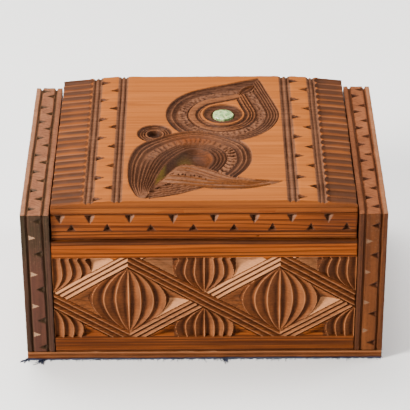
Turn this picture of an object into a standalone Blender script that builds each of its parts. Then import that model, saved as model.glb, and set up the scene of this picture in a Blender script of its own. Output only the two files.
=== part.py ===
"""A carved wooden trinket box with a lift-off lid and a shell inlay.

Metres, +Z up, the carved front towards -Y, origin on the table under the middle of the box.
Two end boards hold a front and a back panel between them, all standing on a base board with
a felt pad under it. The lid drops in between the end boards. Every carved line is a cutter
shaped like the cut of a chisel, a V tool or a gouge.
"""

import math

import bmesh
import bpy
from mathutils import Matrix, Vector

# Overall sizes
BOX_WIDTH = 0.190
BOX_DEPTH = 0.1395
END_HEIGHT = 0.0858
PANEL_HEIGHT = 0.0692

# Boards
FELT_THICKNESS = 0.0012
FELT_INSET = 0.0006
BASE_THICKNESS = 0.0042
END_THICKNESS = 0.0150
PANEL_THICKNESS = 0.0110
PANEL_RECESS = 0.0004
PANEL_TOP_CHAMFER = 0.0013
EDGE_CHAMFER = 0.0005
SEAM = 0.0003

# Lid
LID_THICKNESS = 0.0236
LID_SIDE_GAP = 0.0008
LID_FRONT_RECESS = 0.0019
LID_BACK_RECESS = 0.0003
LID_TONGUE = 0.0030
LID_TONGUE_GAP = 0.0008
CAMBER_DROP = 0.0028
CAMBER_WIDTH = 0.0345
CAMBER_POWER = 1.4
CAMBER_STEPS = 4

# Bands on the lid, measured in from its ends
FLUTE_BAND = 0.0172
GROOVE_PITCH = 0.0025
NOTCH_BAND = 0.0097
LID_GROOVE_WIDTH = 0.0021
LID_GROOVE_DEPTH = 0.0010
FLUTE_COUNT = 21
FLUTE_DEPTH = 0.0012
FLUTE_SIDES = 10
FLUTE_LAP = 1.02

# Triangular chip cuts
CHIP_LENGTH = 0.0046
CHIP_WIDTH = 0.0048
CHIP_DEPTH = 0.0019
CHIP_DEEPEST = 0.22
CHIP_LAP = 0.0003
LID_CHIPS = 7
FRONT_CHIPS = 8
END_TOP_CHIPS = 8
END_FACE_CHIPS = 4

# Notched band on the lid's front edge, measured down from the lid's top
FRONT_BAND_TOP = 0.0086
FRONT_BAND_HEIGHT = 0.0102
FRONT_GROOVE_WIDTH = 0.0018
FRONT_GROOVE_DEPTH = 0.0008
FRONT_CHIP_SHARE = 0.42

# Strips and grooves along the end boards, measured from their inner faces
INNER_STRIP = 0.0024
END_BAND = 0.0067
END_GROOVE_WIDTH = 0.0017
END_GROOVE_DEPTH = 0.0011

# Diamond lattice on the panels
FIELD_BOTTOM = 0.0090
FIELD_TOP_BORDER = 0.0102
DIAMOND_COLUMNS = 2
RIDGE_PITCH = 0.0021
RIDGE_DEPTH = 0.0010
GROOVE_LAP = 1.06
RISING_SHARE = 0.92
SQUARE_END = 0.87
SQUARE_INSET = 0.12
BAND_RIDGES = 3
PLAIN_BAND_RIDGES = 1
PETAL_PITCH = 0.0063
HALF_PETAL_PITCH = 0.0054
PETALS_A_SIDE = 3
PETAL_DEPTH = 0.0014
PETAL_STEPS = 6
PETAL_DEEPEST = 0.30
POCKET_DEPTH = 0.0021
SIDE_BORDER = 0.0130

# Bird-headed scroll figure on the lid, drawn in units of its height over 133
FIGURE_HEIGHT = 0.133
FIGURE_UNIT = FIGURE_HEIGHT / 133
FIGURE_START = -0.0004
EYE_CENTRE = (10.6, 93.0)
EYE_RADIUS = 31.3
EYE_TIP_RATIO = 1.498
EYE_TIP_ANGLE = math.radians(63.5)
CUT_DEPTH = 0.0014
CUT_SLOPE = 1.05
MOUTH_DEPTH = 0.0046
SHELL_RADIUS = 0.0061
SHELL_THICKNESS = 0.0018
SHELL_SINK = 0.0004
SHELL_SIDES = 18
EYE_RING_RADIUS = 0.0110
EYE_RING_DEPTH = 0.0017
EYE_RING_SIDES = 24
EYE_RING_BELLY = 0.8
MOUTH_BELLY = 0.75

# Shares that shape a cut's bent walls and its corners
BELLY_PLACE = 0.4
MITRE_LEAST = 0.6

# How far cutters stand proud of the wood they cut
CUTTER_RISE = 0.0004
CUT_END = 0.0001

# Places worked out from the sizes above
BASE_TOP = FELT_THICKNESS + BASE_THICKNESS
WALL_BOTTOM = BASE_TOP + SEAM
END_TOP = WALL_BOTTOM + END_HEIGHT
PANEL_TOP = WALL_BOTTOM + PANEL_HEIGHT
LID_BOTTOM = PANEL_TOP + SEAM
LID_TOP = LID_BOTTOM + LID_THICKNESS
FRONT_Y = -BOX_DEPTH / 2
INNER_X = BOX_WIDTH / 2 - END_THICKNESS
LID_HALF = INNER_X - LID_SIDE_GAP
LID_FRONT = FRONT_Y + LID_FRONT_RECESS
LID_BACK = -FRONT_Y - LID_BACK_RECESS
PANEL_HALF = INNER_X - SEAM
PANEL_DEPTH_IN = PANEL_RECESS + PANEL_THICKNESS
FIELD_LOW = WALL_BOTTOM + FIELD_BOTTOM
FIELD_HIGH = PANEL_TOP - FIELD_TOP_BORDER

WOODS = {
    "lid_wood": ((0.44, 0.20, 0.085), 0.45, 0.0),
    "panel_wood": ((0.42, 0.15, 0.035), 0.42, 0.0),
    "end_wood": ((0.24, 0.10, 0.045), 0.55, 0.0),
    "felt": ((0.010, 0.014, 0.045), 0.95, 0.0),
    "shell": ((0.55, 0.72, 0.56), 0.15, 0.1),
}


def clear_scene():
    for old in list(bpy.data.objects):
        bpy.data.objects.remove(old, do_unlink=True)


def make_collection(name, shown):
    collection = bpy.data.collections.new(name)
    collection.hide_render = not shown
    bpy.context.scene.collection.children.link(collection)
    return collection


def make_material(name):
    colour, roughness, metallic = WOODS[name]
    material = bpy.data.materials.get(name) or bpy.data.materials.new(name)
    material.use_nodes = True
    shader = material.node_tree.nodes["Principled BSDF"]
    shader.inputs["Base Color"].default_value = (*colour, 1)
    shader.inputs["Roughness"].default_value = roughness
    shader.inputs["Metallic"].default_value = metallic
    material.diffuse_color = (*colour, 1)
    return material


def add_object(name, mesh, collection, material=None):
    obj = bpy.data.objects.new(name, mesh)
    collection.objects.link(obj)
    if material:
        mesh.materials.append(make_material(material))
    if collection.hide_render:
        obj.hide_render = True
        obj.display_type = "WIRE"
    return obj


def mesh_from(name, build):
    """A mesh from a bmesh, with its faces pointing out."""
    bmesh.ops.recalc_face_normals(build, faces=build.faces)
    mesh = bpy.data.meshes.new(name)
    build.to_mesh(mesh)
    build.free()
    return mesh


def add_box(name, low, high, collection, material=None):
    """A box between two corners, with its origin at its middle."""
    low, high = Vector(low), Vector(high)
    build = bmesh.new()
    bmesh.ops.create_cube(build, size=1)
    bmesh.ops.scale(build, vec=high - low, verts=build.verts)
    obj = add_object(name, mesh_from(name, build), collection, material)
    obj.location = (low + high) / 2
    return obj


def add_extrusion(name, outline, length, matrix, collection, material):
    """A flat outline as a filled curve, extruded to this length about its plane and made a mesh."""
    curve = bpy.data.curves.new(name + "_outline", "CURVE")
    curve.dimensions = "2D"
    curve.fill_mode = "BOTH"
    curve.extrude = length / 2
    spline = curve.splines.new("POLY")
    spline.points.add(len(outline) - 1)
    for point, (x, y) in zip(spline.points, outline):
        point.co = (x, y, 0, 1)
    spline.use_cyclic_u = True
    drawn = bpy.data.objects.new(name + "_outline", curve)
    bpy.context.scene.collection.objects.link(drawn)
    graph = bpy.context.evaluated_depsgraph_get()
    filled = bpy.data.meshes.new_from_object(drawn.evaluated_get(graph))
    build = bmesh.new()
    build.from_mesh(filled)
    bmesh.ops.remove_doubles(build, verts=build.verts, dist=1e-6)
    bpy.data.objects.remove(drawn)
    bpy.data.meshes.remove(filled)
    obj = add_object(name, mesh_from(name, build), collection, material)
    obj.matrix_world = matrix
    return obj


def soften_edges(obj, width):
    """A narrow chamfer on the arrises of a board."""
    bevel = obj.modifiers.new("Softened edges", "BEVEL")
    bevel.width = width
    bevel.segments = 1
    bevel.limit_method = "ANGLE"
    bevel.angle_limit = math.radians(40)


def carve(obj, cutters):
    cut = obj.modifiers.new("Carving", "BOOLEAN")
    cut.operation = "DIFFERENCE"
    cut.operand_type = "COLLECTION"
    cut.collection = cutters
    cut.solver = "EXACT"


class Face:
    """A face that is carved: u and v lie in it, height points out of the wood."""

    def __init__(self, origin, u, v, cutters, surface=None):
        u, v = Vector(u), Vector(v)
        turn = Matrix((u, v, u.cross(v))).transposed().to_4x4()
        self.matrix = Matrix.Translation(origin) @ turn
        self.cutters = cutters
        self.surface = surface or (lambda point: 0.0)

    def at(self, point, height=0.0):
        """A point of the face's own space, this high over the surface."""
        return Vector((point[0], point[1], self.surface(point) + height))

    def add_cutter(self, name, build):
        cutter = add_object(name, mesh_from(name, build), self.cutters)
        cutter.matrix_world = self.matrix
        return cutter


def cut_between(face, name, left, deepest, right, depths, closed=False, belly=0.0):
    """A cut whose two lips and deepest line are given point by point. belly rounds its walls."""
    build = bmesh.new()
    rows = []
    for lip_a, deep, lip_b, depth in zip(left, deepest, right, depths):
        flare = CUTTER_RISE / depth * (1 - belly)
        ring = [face.at(lip_a + (lip_a - deep) * flare, CUTTER_RISE)]
        if belly:
            ring.append(face.at(lip_a.lerp(deep, BELLY_PLACE), -depth * belly))
        ring.append(face.at(deep, -depth))
        if belly:
            ring.append(face.at(lip_b.lerp(deep, BELLY_PLACE), -depth * belly))
        ring.append(face.at(lip_b + (lip_b - deep) * flare, CUTTER_RISE))
        rows.append([build.verts.new(point) for point in ring])
    following = rows[1:] + rows[:1] if closed else rows[1:]
    for near, far in zip(rows, following):
        for i in range(len(near)):
            j = (i + 1) % len(near)
            build.faces.new((near[i], near[j], far[j], far[i]))
    if not closed:
        build.faces.new(rows[0])
        build.faces.new(rows[-1])
    return face.add_cutter(name, build)


def side_vectors(path, closed):
    """The sideways direction at each point of a path, lengthened at corners as in a mitre."""
    sides = []
    count = len(path)
    for i, point in enumerate(path):
        before = point - path[i - 1] if i or closed else path[1] - point
        after = path[(i + 1) % count] - point if closed or i < count - 1 else before
        before, after = before.normalized(), after.normalized()
        side = (Vector((-before.y, before.x)) + Vector((-after.y, after.x))).normalized()
        sides.append(side / max(side.dot(Vector((-after.y, after.x))), MITRE_LEAST))
    return sides


def stroke(face, name, path, widths, depths, closed=False, belly=0.0):
    """A tool's cut along a path: widths and depths are given at each point."""
    sides = side_vectors(path, closed)
    left = [p + s * w / 2 for p, s, w in zip(path, sides, widths)]
    right = [p - s * w / 2 for p, s, w in zip(path, sides, widths)]
    return cut_between(face, name, left, path, right, depths, closed, belly)


def straight_groove(face, name, start, end, width, depth):
    """A V groove that runs out past both ends."""
    path = [Vector(start), Vector(end)]
    return stroke(face, name, path, [width] * 2, [depth] * 2)


def chip(face, name, corners, deepest, depth):
    """A three-sided pocket: its walls run from the sides of a triangle to one deepest point."""
    apex = face.at(deepest, -depth)
    grow = 1 + CUTTER_RISE / depth
    build = bmesh.new()
    build.verts.new(apex)
    for corner in corners:
        build.verts.new(apex + (face.at(corner) - apex) * grow)
    bmesh.ops.convex_hull(build, input=build.verts)
    return face.add_cutter(name, build)


def pointing_chip(face, name, base, direction, length=CHIP_LENGTH, width=CHIP_WIDTH):
    """A chip whose base is centred on a point and whose tip points along a direction."""
    direction = Vector(direction)
    base = Vector(base) - direction * CHIP_LAP
    across = Vector((-direction.y, direction.x)) * width / 2
    corners = [base + across, base - across, base + direction * length]
    chip(face, name, corners, base + direction * length * CHIP_DEEPEST, CHIP_DEPTH)


def staggered(count, low, high):
    """Two rows of places between low and high: count in one row, and those half way between."""
    pitch = (high - low) / count
    first = [low + pitch * (i + 0.5) for i in range(count)]
    return first, [(a + b) / 2 for a, b in zip(first, first[1:])]


def smooth_path(points, steps):
    """A curve through the points, with this many steps between neighbours."""
    ends = [points[0] * 2 - points[1], *points, points[-1] * 2 - points[-2]]
    path = []
    for before, start, end, after in zip(ends, ends[1:], ends[2:], ends[3:]):
        for step in range(steps):
            t = step / steps
            bend = 2 * before - 5 * start + 4 * end - after
            twist = 3 * start - before - 3 * end + after
            path.append((2 * start + (end - before) * t + bend * t * t + twist * t**3) / 2)
    return [*path, points[-1]]


def fade(count, full):
    """Values that start and end near nothing and are full between, for a cut's own ends."""
    return [CUT_END] + [full] * (count - 2) + [CUT_END]


def clipped(start, end, limits):
    """The part of a straight line where normal . point <= bound, for each (normal, bound)."""
    low, high = 0.0, 1.0
    for normal, bound in limits:
        rate = normal.dot(end - start)
        room = bound - normal.dot(start)
        if abs(rate) < 1e-12:
            if room < 0:
                return None
        elif rate > 0:
            high = min(high, room / rate)
        else:
            low = max(low, room / rate)
    if (high - low) * (end - start).length < 4 * RIDGE_PITCH:
        return None
    return start.lerp(end, low), start.lerp(end, high)


class Lattice:
    """A row of diamonds with ridged bands along their sides, on one face.

    overrun is how far the bands run on past the sides of the field. The shares below are of a
    petal's pitch, or of the half height or half width of a diamond.
    """

    PETAL_LAP = 0.03
    PETAL_LEAST = 0.12
    PETAL_SAMPLES = 60
    POLE_INSET = 0.03
    WIDEST = 0.3
    HALF_PETAL_REACH = 0.68
    SHALLOWEST = 0.15
    POCKET_TIP_INSET = 0.04
    POCKET_ROOT_GAP = 0.05
    POCKET_SIDE_INSET = 0.02
    POCKET_FLAT_INSET = 0.03
    POCKET_DEEPEST = 0.2

    def __init__(self, face, half_width, low, high, columns, ridges, overrun):
        self.face = face
        self.half_width = half_width
        self.ridges = ridges
        self.low, self.high = low, high
        self.half_wide = half_width / columns
        self.half_high = (high - low) / 2
        self.middle = (high + low) / 2
        self.columns = columns
        side = math.hypot(self.half_wide, self.half_high)
        reach = self.half_wide * self.half_high / side
        self.inner_share = 1 - ridges * RIDGE_PITCH / 2 / reach
        self.falling = Vector((self.half_wide, -self.half_high)) / side
        self.box_limits = [
            (Vector((1, 0)), half_width + overrun),
            (Vector((-1, 0)), half_width + overrun),
            (Vector((0, 1)), high),
            (Vector((0, -1)), -low),
        ]

    def band(self, name, start, end, limits, full=1.0, run_outs=(True, True)):
        """V grooves side by side, which leave the ridges of one band standing.

        full is their share of the ridge depth. A groove rises out of the wood at each end that
        has a run out, or else it ends square.
        """
        along = (end - start).normalized()
        across = Vector((-along.y, along.x))
        for i in range(self.ridges + 1):
            shift = across * RIDGE_PITCH * (i - self.ridges / 2)
            line = clipped(start + shift, end + shift, limits)
            if line is None:
                continue
            path, shares = [line[0], line[1]], [full * SQUARE_END, full * SQUARE_END]
            if run_outs[0]:
                path.insert(1, line[0] + along * RIDGE_PITCH)
                shares[0:1] = [CUT_END / RIDGE_DEPTH, full]
            if run_outs[1]:
                path.insert(-1, line[1] - along * RIDGE_PITCH)
                shares[-1:] = [full, CUT_END / RIDGE_DEPTH]
            widths = [share * GROOVE_LAP * RIDGE_PITCH for share in shares]
            depths = [share * RIDGE_DEPTH for share in shares]
            stroke(self.face, f"{name}_{i}", path, widths, depths)

    def bands(self):
        reach = Vector((2 * self.half_wide, 2 * self.half_high))
        for column in range(-1, self.columns):
            x = -self.half_width + self.half_wide * (2 * column + 1)
            top, foot = Vector((x, self.high)), Vector((x, self.low))
            fall_end = top + Vector((reach.x, -reach.y))
            self.band(f"falling_{column + 1}", top, fall_end, self.box_limits)
            middle = Vector((x + self.half_wide, self.middle))
            across = Vector((-self.falling.y, self.falling.x))
            edge = (self.ridges / 2 + SQUARE_INSET) * RIDGE_PITCH
            below = [*self.box_limits, (across, across.dot(middle) - edge)]
            above = [*self.box_limits, (-across, -across.dot(middle) - edge)]
            for label, limits, run_outs in (("low", below, (True, False)), ("high", above, (False, True))):
                name = f"rising_{label}_{column + 1}"
                self.band(name, foot, foot + reach, limits, RISING_SHARE, run_outs)

    def centres(self):
        """(x, height, which half: 0 for a whole diamond, 1 for its upper, -1 for its lower)."""
        for column in range(self.columns):
            yield -self.half_width + self.half_wide * (2 * column + 1), self.middle, 0
        for column in range(self.columns + 1):
            x = -self.half_width + self.half_wide * 2 * column
            yield x, self.high, -1
            yield x, self.low, 1

    def petals(self, x, y, half):
        """Crescent scoops between meridians that bow out from a centre line."""
        pitch = HALF_PETAL_PITCH if half else PETAL_PITCH
        widest = self.WIDEST * self.half_high * half
        pole = self.half_high * (self.inner_share - self.POLE_INSET)
        low = 0 if half > 0 else -pole
        high = 0 if half < 0 else pole

        def bow(v):
            if not half:
                return max(0.0, 1 - (v / pole) ** 2)
            past_widest = v * half >= widest * half
            far = pole - abs(widest) if past_widest else self.HALF_PETAL_REACH * self.half_high
            return max(0.0, 1 - ((v - widest) / far) ** 2)

        def edge(v):
            return self.half_wide * max(0.0, self.inner_share - abs(v) / self.half_high)

        for sign in (-1, 1):
            if abs(x + sign * pitch) > self.half_width:
                continue
            for k in range(PETALS_A_SIDE):
                samples = self.PETAL_SAMPLES
                steps = [low + (high - low) * i / samples for i in range(samples + 1)]
                gaps = [min((k + 1) * pitch * bow(v), edge(v)) - k * pitch * bow(v) for v in steps]
                inside = [v for v, gap in zip(steps, gaps) if gap > self.PETAL_LEAST * pitch]
                rows = PETAL_STEPS if not half else PETAL_STEPS // 2 + 1
                spots = [inside[0] + (inside[-1] - inside[0]) * i / rows for i in range(rows + 1)]
                left, deep, right, depths = [], [], [], []
                lap = self.PETAL_LAP * pitch
                for v in spots:
                    near = k * pitch * bow(v)
                    far = min((k + 1) * pitch * bow(v), edge(v))
                    bottom = near + (far - near) * PETAL_DEEPEST
                    left.append(Vector((x + sign * (near - lap), y + v)))
                    deep.append(Vector((x + sign * bottom, y + v)))
                    right.append(Vector((x + sign * (far + lap), y + v)))
                    depths.append(PETAL_DEPTH * min(1.0, self.SHALLOWEST + (far - near) / pitch))
                cut_between(self.face, f"petal_{half}_{k}", left, deep, right, depths)

    def pockets(self, x, y, half):
        """The chips in the left and right corners of a diamond."""
        for sign in (-1, 1):
            if abs(x + sign * self.half_wide / 2) > self.half_width:
                continue
            corner = self.half_wide * (self.inner_share - self.POCKET_TIP_INSET)
            root = PETALS_A_SIDE * PETAL_PITCH + self.POCKET_ROOT_GAP * self.half_wide
            side_share = self.inner_share - self.POCKET_SIDE_INSET
            rise = self.half_high * (side_share - root / self.half_wide)
            inset = self.POCKET_FLAT_INSET * self.half_high * half
            top = Vector((x + sign * root, y + (rise if half >= 0 else inset)))
            foot = Vector((x + sign * root, y + (-rise if half <= 0 else inset)))
            tip = Vector((x + sign * corner, y + inset))
            across = root + self.POCKET_DEEPEST * (corner - root)
            deepest = Vector((x + sign * across, (top.y + foot.y) / 2))
            chip(self.face, f"pocket_{half}", [top, foot, tip], deepest, POCKET_DEPTH)

    def carve_all(self, with_petals):
        """The bands and what fills the diamonds. A plain lattice has only the whole ones' pockets."""
        self.bands()
        for x, y, half in self.centres():
            if with_petals:
                self.petals(x, y, half)
            if with_petals or not half:
                self.pockets(x, y, half)


class Figure:
    """The bird-headed scroll figure on the lid. Points are in figure units."""

    OUTER = [
        (-31.5, 4), (-37, 11), (-39.8, 23), (-40.1, 37), (-37.5, 51), (-30, 61.7),
        (-18, 70.5), (-4, 74.5), (9, 70.3), (19.5, 62.5), (25, 53), (25.3, 43),
        (22, 32.5), (16, 24),
    ]
    INNER = [
        (-29.3, 9), (-28.4, 13), (-26.5, 22), (-22.8, 32), (-19, 40), (-14.5, 47.5),
        (-10, 53), (-5, 55.6), (0, 54.3), (4, 50.7), (5.8, 45.5), (5, 40),
        (2.5, 36.5), (0.5, 34.3),
    ]
    HEAD_RIDGES = [0.0, 0.13, 0.24, 0.35, 0.64, 0.76, 0.88, 1.0]
    EYE_RIDGES = [31.3, 28.6, 26.4, 24.2, 19.0, 16.3, 13.6]
    HOLLOW = [(-28, 13), (-24.5, 25), (-18, 36), (-11.5, 43.5), (-4.5, 46.5), (1.5, 43.5)]
    HOLLOW_WIDTHS = [1.5, 6.5, 11, 15, 16, 6]
    TONGUE = [
        [(-13, 39.3), (-6, 37.8), (2, 33), (10, 28), (18, 24.2), (28, 21.8), (40.5, 20.3)],
        [(-15, 34.5), (-5, 32.3), (4, 27.5), (14, 22.8), (26, 20.6), (37, 20)],
        [(-17, 27), (-6, 25.4), (5, 21.8), (16, 19.3), (29, 18.8)],
        [(-22, 21.5), (-10, 19.5), (2, 16.8), (15, 15.8), (28, 16.8), (36, 18.6)],
        [(-3, 15.2), (5, 13.1), (15, 12.3), (26, 13.4), (34, 16), (40.5, 19.6)],
    ]
    JAW = [
        [(-28, 10.3), (-22, 15), (-14, 18.2), (-5, 17)],
        [(-26.5, 6.3), (-18, 9.8), (-9, 13.2), (-3, 14.8)],
        [(-28.3, 3.2), (-20, 5), (-10, 9), (-1, 13.7)],
    ]
    EAR_CENTRE = (-26.2, 71.8)
    EAR_RADII = [8.8, 6.6, 3.6]
    EAR_TURN = (28, 215)
    LEAF_CENTRE = (24.3, 120.8)
    LEAF_SIZE = (6.2, 3.5)
    LEAF_STEPS = 10
    EYE_ARC = (214, -74)
    EYE_STEPS = 7
    CUT_LAP = 1.05
    LEAF_CUT = 1.6
    EAR_CUT = 2.2
    TONGUE_CUT = 2.2
    JAW_CUT = 2.4
    TOOTH_COUNT = 12
    TOOTH_SHARES = (0.40, 0.60)
    TOOTH_SPAN = (22, 49)
    TOOTH_WIDTHS = [1.2, 2.0, 1.2]

    def __init__(self, face, front_edge):
        self.face = face
        self.front_edge = front_edge
        self.cuts = 0

    def point(self, xy):
        return Vector((xy[0] * FIGURE_UNIT, self.front_edge + xy[1] * FIGURE_UNIT))

    def cut(self, points, width, closed=False):
        """A V cut along figure points. It's as deep as it is wide, up to the full depth."""
        path = [self.point(p) for p in points]
        count = len(path)
        widths = [w * FIGURE_UNIT for w in width] if isinstance(width, list) else (
            [width * FIGURE_UNIT] * count
        )
        if not closed:
            widths[0] = widths[-1] = CUT_END * 3
        depths = [min(CUT_DEPTH, w / 2 * CUT_SLOPE) for w in widths]
        self.cuts += 1
        stroke(self.face, f"figure_cut_{self.cuts}", path, widths, depths, closed)

    def eye_outline(self, radius, start, end, steps):
        """A drop shape: an arc round the eye and two straight sides that meet in a tip."""
        centre = Vector(EYE_CENTRE)
        spread = math.acos(1 / EYE_TIP_RATIO)
        left, right = EYE_TIP_ANGLE + spread, EYE_TIP_ANGLE - spread
        turns = [start + (left - start) * i / steps for i in range(steps + 1)]
        back = [right + (end - right) * i / steps for i in range(steps + 1)]
        tip = centre + Vector((math.cos(EYE_TIP_ANGLE), math.sin(EYE_TIP_ANGLE))) * (
            radius * EYE_TIP_RATIO
        )
        arc = [centre + Vector((math.cos(a), math.sin(a))) * radius for a in turns + back]
        return [*arc[: steps + 1], tip, *arc[steps + 1 :]]

    def eye_surround(self):
        for outer, inner in zip(self.EYE_RIDGES, self.EYE_RIDGES[1:]):
            radius = (outer + inner) / 2
            whole = radius < 19
            start = math.radians(270 if whole else self.EYE_ARC[0] + (EYE_RADIUS - radius))
            end = math.radians(-90 if whole else self.EYE_ARC[1] - (EYE_RADIUS - radius))
            path = self.eye_outline(radius, start, end, self.EYE_STEPS)
            if whole:
                path = path[:-1]
            self.cut(path, (outer - inner) * self.CUT_LAP, closed=whole)
        centre = Vector(self.LEAF_CENTRE)
        long, short = self.LEAF_SIZE
        along = Vector((math.cos(EYE_TIP_ANGLE), math.sin(EYE_TIP_ANGLE)))
        across = along.orthogonal()
        leaf = []
        for i in range(self.LEAF_STEPS):
            a = 2 * math.pi * i / self.LEAF_STEPS
            leaf.append(centre + along * long * math.cos(a) + across * short * math.sin(a))
        self.cut(leaf, self.LEAF_CUT, closed=True)

    def head_line(self, share, steps=1):
        """A line that share of the way from the head's outline to the mouth."""
        between = [Vector(a).lerp(Vector(b), share) for a, b in zip(self.OUTER, self.INNER)]
        return smooth_path(between, steps)

    def head(self):
        for near, far in zip(self.HEAD_RIDGES, self.HEAD_RIDGES[1:]):
            line = self.head_line((near + far) / 2)
            spans = [(Vector(a) - Vector(b)).length for a, b in zip(self.OUTER, self.INNER)]
            widths = [span * (far - near) * self.CUT_LAP for span in spans]
            self.cut(line, widths)

    def teeth(self):
        """Short cuts across the toothed band of the head."""
        lip, root = [self.head_line(share, 4) for share in self.TOOTH_SHARES]
        first, last = self.TOOTH_SPAN
        for i in range(self.TOOTH_COUNT):
            at = round(first + (last - first) * i / (self.TOOTH_COUNT - 1))
            self.cut([lip[at], lip[at].lerp(root[at], 0.5), root[at]], self.TOOTH_WIDTHS)

    def ear(self):
        centre = Vector(self.EAR_CENTRE)
        start, sweep = self.EAR_TURN
        for radius in self.EAR_RADII:
            turns = [math.radians(start + sweep * i / 8) for i in range(9)]
            arc = [centre + Vector((math.cos(a), math.sin(a))) * radius for a in turns]
            self.cut(arc, self.EAR_CUT)

    def mouth(self):
        path = smooth_path([self.point(p) for p in self.HOLLOW], 2)
        spread = smooth_path([Vector((w, 0)) for w in self.HOLLOW_WIDTHS], 2)
        widths = [w.x * FIGURE_UNIT for w in spread]
        most = max(widths)
        depths = [MOUTH_DEPTH * (w / most) ** 0.8 for w in widths]
        stroke(self.face, "mouth_hollow", path, widths, depths, belly=MOUTH_BELLY)

    def tongue_and_jaw(self):
        for line in self.TONGUE:
            self.cut(smooth_path([Vector(p) for p in line], 1), self.TONGUE_CUT)
        for line in self.JAW:
            self.cut(smooth_path([Vector(p) for p in line], 2), self.JAW_CUT)

    def carve_all(self):
        self.eye_surround()
        self.ear()
        self.head()
        self.teeth()
        self.mouth()
        self.tongue_and_jaw()


def camber(x):
    """How far the lid's top falls below its middle at this distance from the centre line."""
    beyond = max(0.0, abs(x) - (LID_HALF - CAMBER_WIDTH)) / CAMBER_WIDTH
    return CAMBER_DROP * beyond**CAMBER_POWER


def add_felt_and_base(parts):
    half_wide, half_deep = BOX_WIDTH / 2, BOX_DEPTH / 2
    inset_wide, inset_deep = half_wide - FELT_INSET, half_deep - FELT_INSET
    felt_top = FELT_THICKNESS - SEAM / 2
    add_box("felt_pad", (-inset_wide, -inset_deep, 0), (inset_wide, inset_deep, felt_top), parts, "felt")
    low = (-half_wide, -half_deep, FELT_THICKNESS)
    base = add_box("base_board", low, (half_wide, half_deep, BASE_TOP), parts, "panel_wood")
    soften_edges(base, EDGE_CHAMFER)


def end_board_bands():
    """Distances of the two grooves from the box's middle, and the edges of the band between."""
    inner_groove = INNER_X + INNER_STRIP + END_GROOVE_WIDTH / 2
    outer_groove = inner_groove + END_GROOVE_WIDTH + END_BAND
    half = END_GROOVE_WIDTH / 2
    return (inner_groove, outer_groove), (inner_groove + half, outer_groove - half)


def add_end_board(name, side, parts):
    """An end board with its strips, grooves and chips on the top, front and back edges."""
    cutters = make_collection(name + "_cutters", False)
    half_deep = BOX_DEPTH / 2
    near, far = sorted((side * INNER_X, side * BOX_WIDTH / 2))
    board = add_box(
        name, (near, -half_deep, WALL_BOTTOM), (far, half_deep, END_TOP), parts, "end_wood"
    )
    soften_edges(board, EDGE_CHAMFER)
    top = Face((0, 0, END_TOP), (1, 0, 0), (0, 1, 0), cutters)
    front = Face((0, -half_deep, 0), (1, 0, 0), (0, 0, 1), cutters)
    back = Face((0, half_deep, 0), (-1, 0, 0), (0, 0, 1), cutters)
    faces = [
        ("top", top, -half_deep, half_deep, END_TOP_CHIPS),
        ("front", front, WALL_BOTTOM, END_TOP, END_FACE_CHIPS),
        ("back", back, WALL_BOTTOM, END_TOP, END_FACE_CHIPS),
    ]
    grooves, (band_in, band_out) = end_board_bands()
    for label, face, low, high, count in faces:
        away = side if label != "back" else -side
        for i, x in enumerate(grooves):
            ends = ((away * x, low - CHIP_LENGTH), (away * x, high + CHIP_LENGTH))
            straight_groove(face, f"{label}_groove_{i}", *ends, END_GROOVE_WIDTH, END_GROOVE_DEPTH)
        outer_row, inner_row = staggered(count, low, high)
        for i, v in enumerate(outer_row):
            pointing_chip(face, f"{label}_outer_chip_{i}", (away * band_out, v), (-away, 0))
        for i, v in enumerate(inner_row):
            pointing_chip(face, f"{label}_inner_chip_{i}", (away * band_in, v), (away, 0))
    outside = Face((side * BOX_WIDTH / 2, 0, 0), (0, side, 0), (0, 0, 1), cutters)
    half_field = half_deep - SIDE_BORDER
    low, high = WALL_BOTTOM + SIDE_BORDER, END_TOP - SIDE_BORDER
    lattice = Lattice(outside, half_field, low, high, DIAMOND_COLUMNS, PLAIN_BAND_RIDGES, 0.0)
    lattice.carve_all(with_petals=False)
    carve(board, cutters)


def add_panel(name, side, parts):
    """The front (side -1) or back (side 1) panel, cut from a section with a chamfered top."""
    outer = side * (BOX_DEPTH / 2 - PANEL_RECESS)
    inner = side * (BOX_DEPTH / 2 - PANEL_DEPTH_IN)
    shoulder = outer - side * PANEL_TOP_CHAMFER
    section = [
        (outer, WALL_BOTTOM),
        (outer, PANEL_TOP - PANEL_TOP_CHAMFER),
        (shoulder, PANEL_TOP),
        (inner, PANEL_TOP),
        (inner, WALL_BOTTOM),
    ]
    lengthways = Matrix(((0, 0, 1, 0), (1, 0, 0, 0), (0, 1, 0, 0), (0, 0, 0, 1)))
    panel = add_extrusion(name, section, 2 * PANEL_HALF, lengthways, parts, "panel_wood")
    cutters = make_collection(name + "_cutters", False)
    face = Face((0, outer, 0), (-side, 0, 0), (0, 0, 1), cutters)
    ridges = BAND_RIDGES if side < 0 else PLAIN_BAND_RIDGES
    overrun = 2 * RIDGE_PITCH
    lattice = Lattice(face, PANEL_HALF, FIELD_LOW, FIELD_HIGH, DIAMOND_COLUMNS, ridges, overrun)
    lattice.carve_all(with_petals=side < 0)
    carve(panel, cutters)


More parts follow.
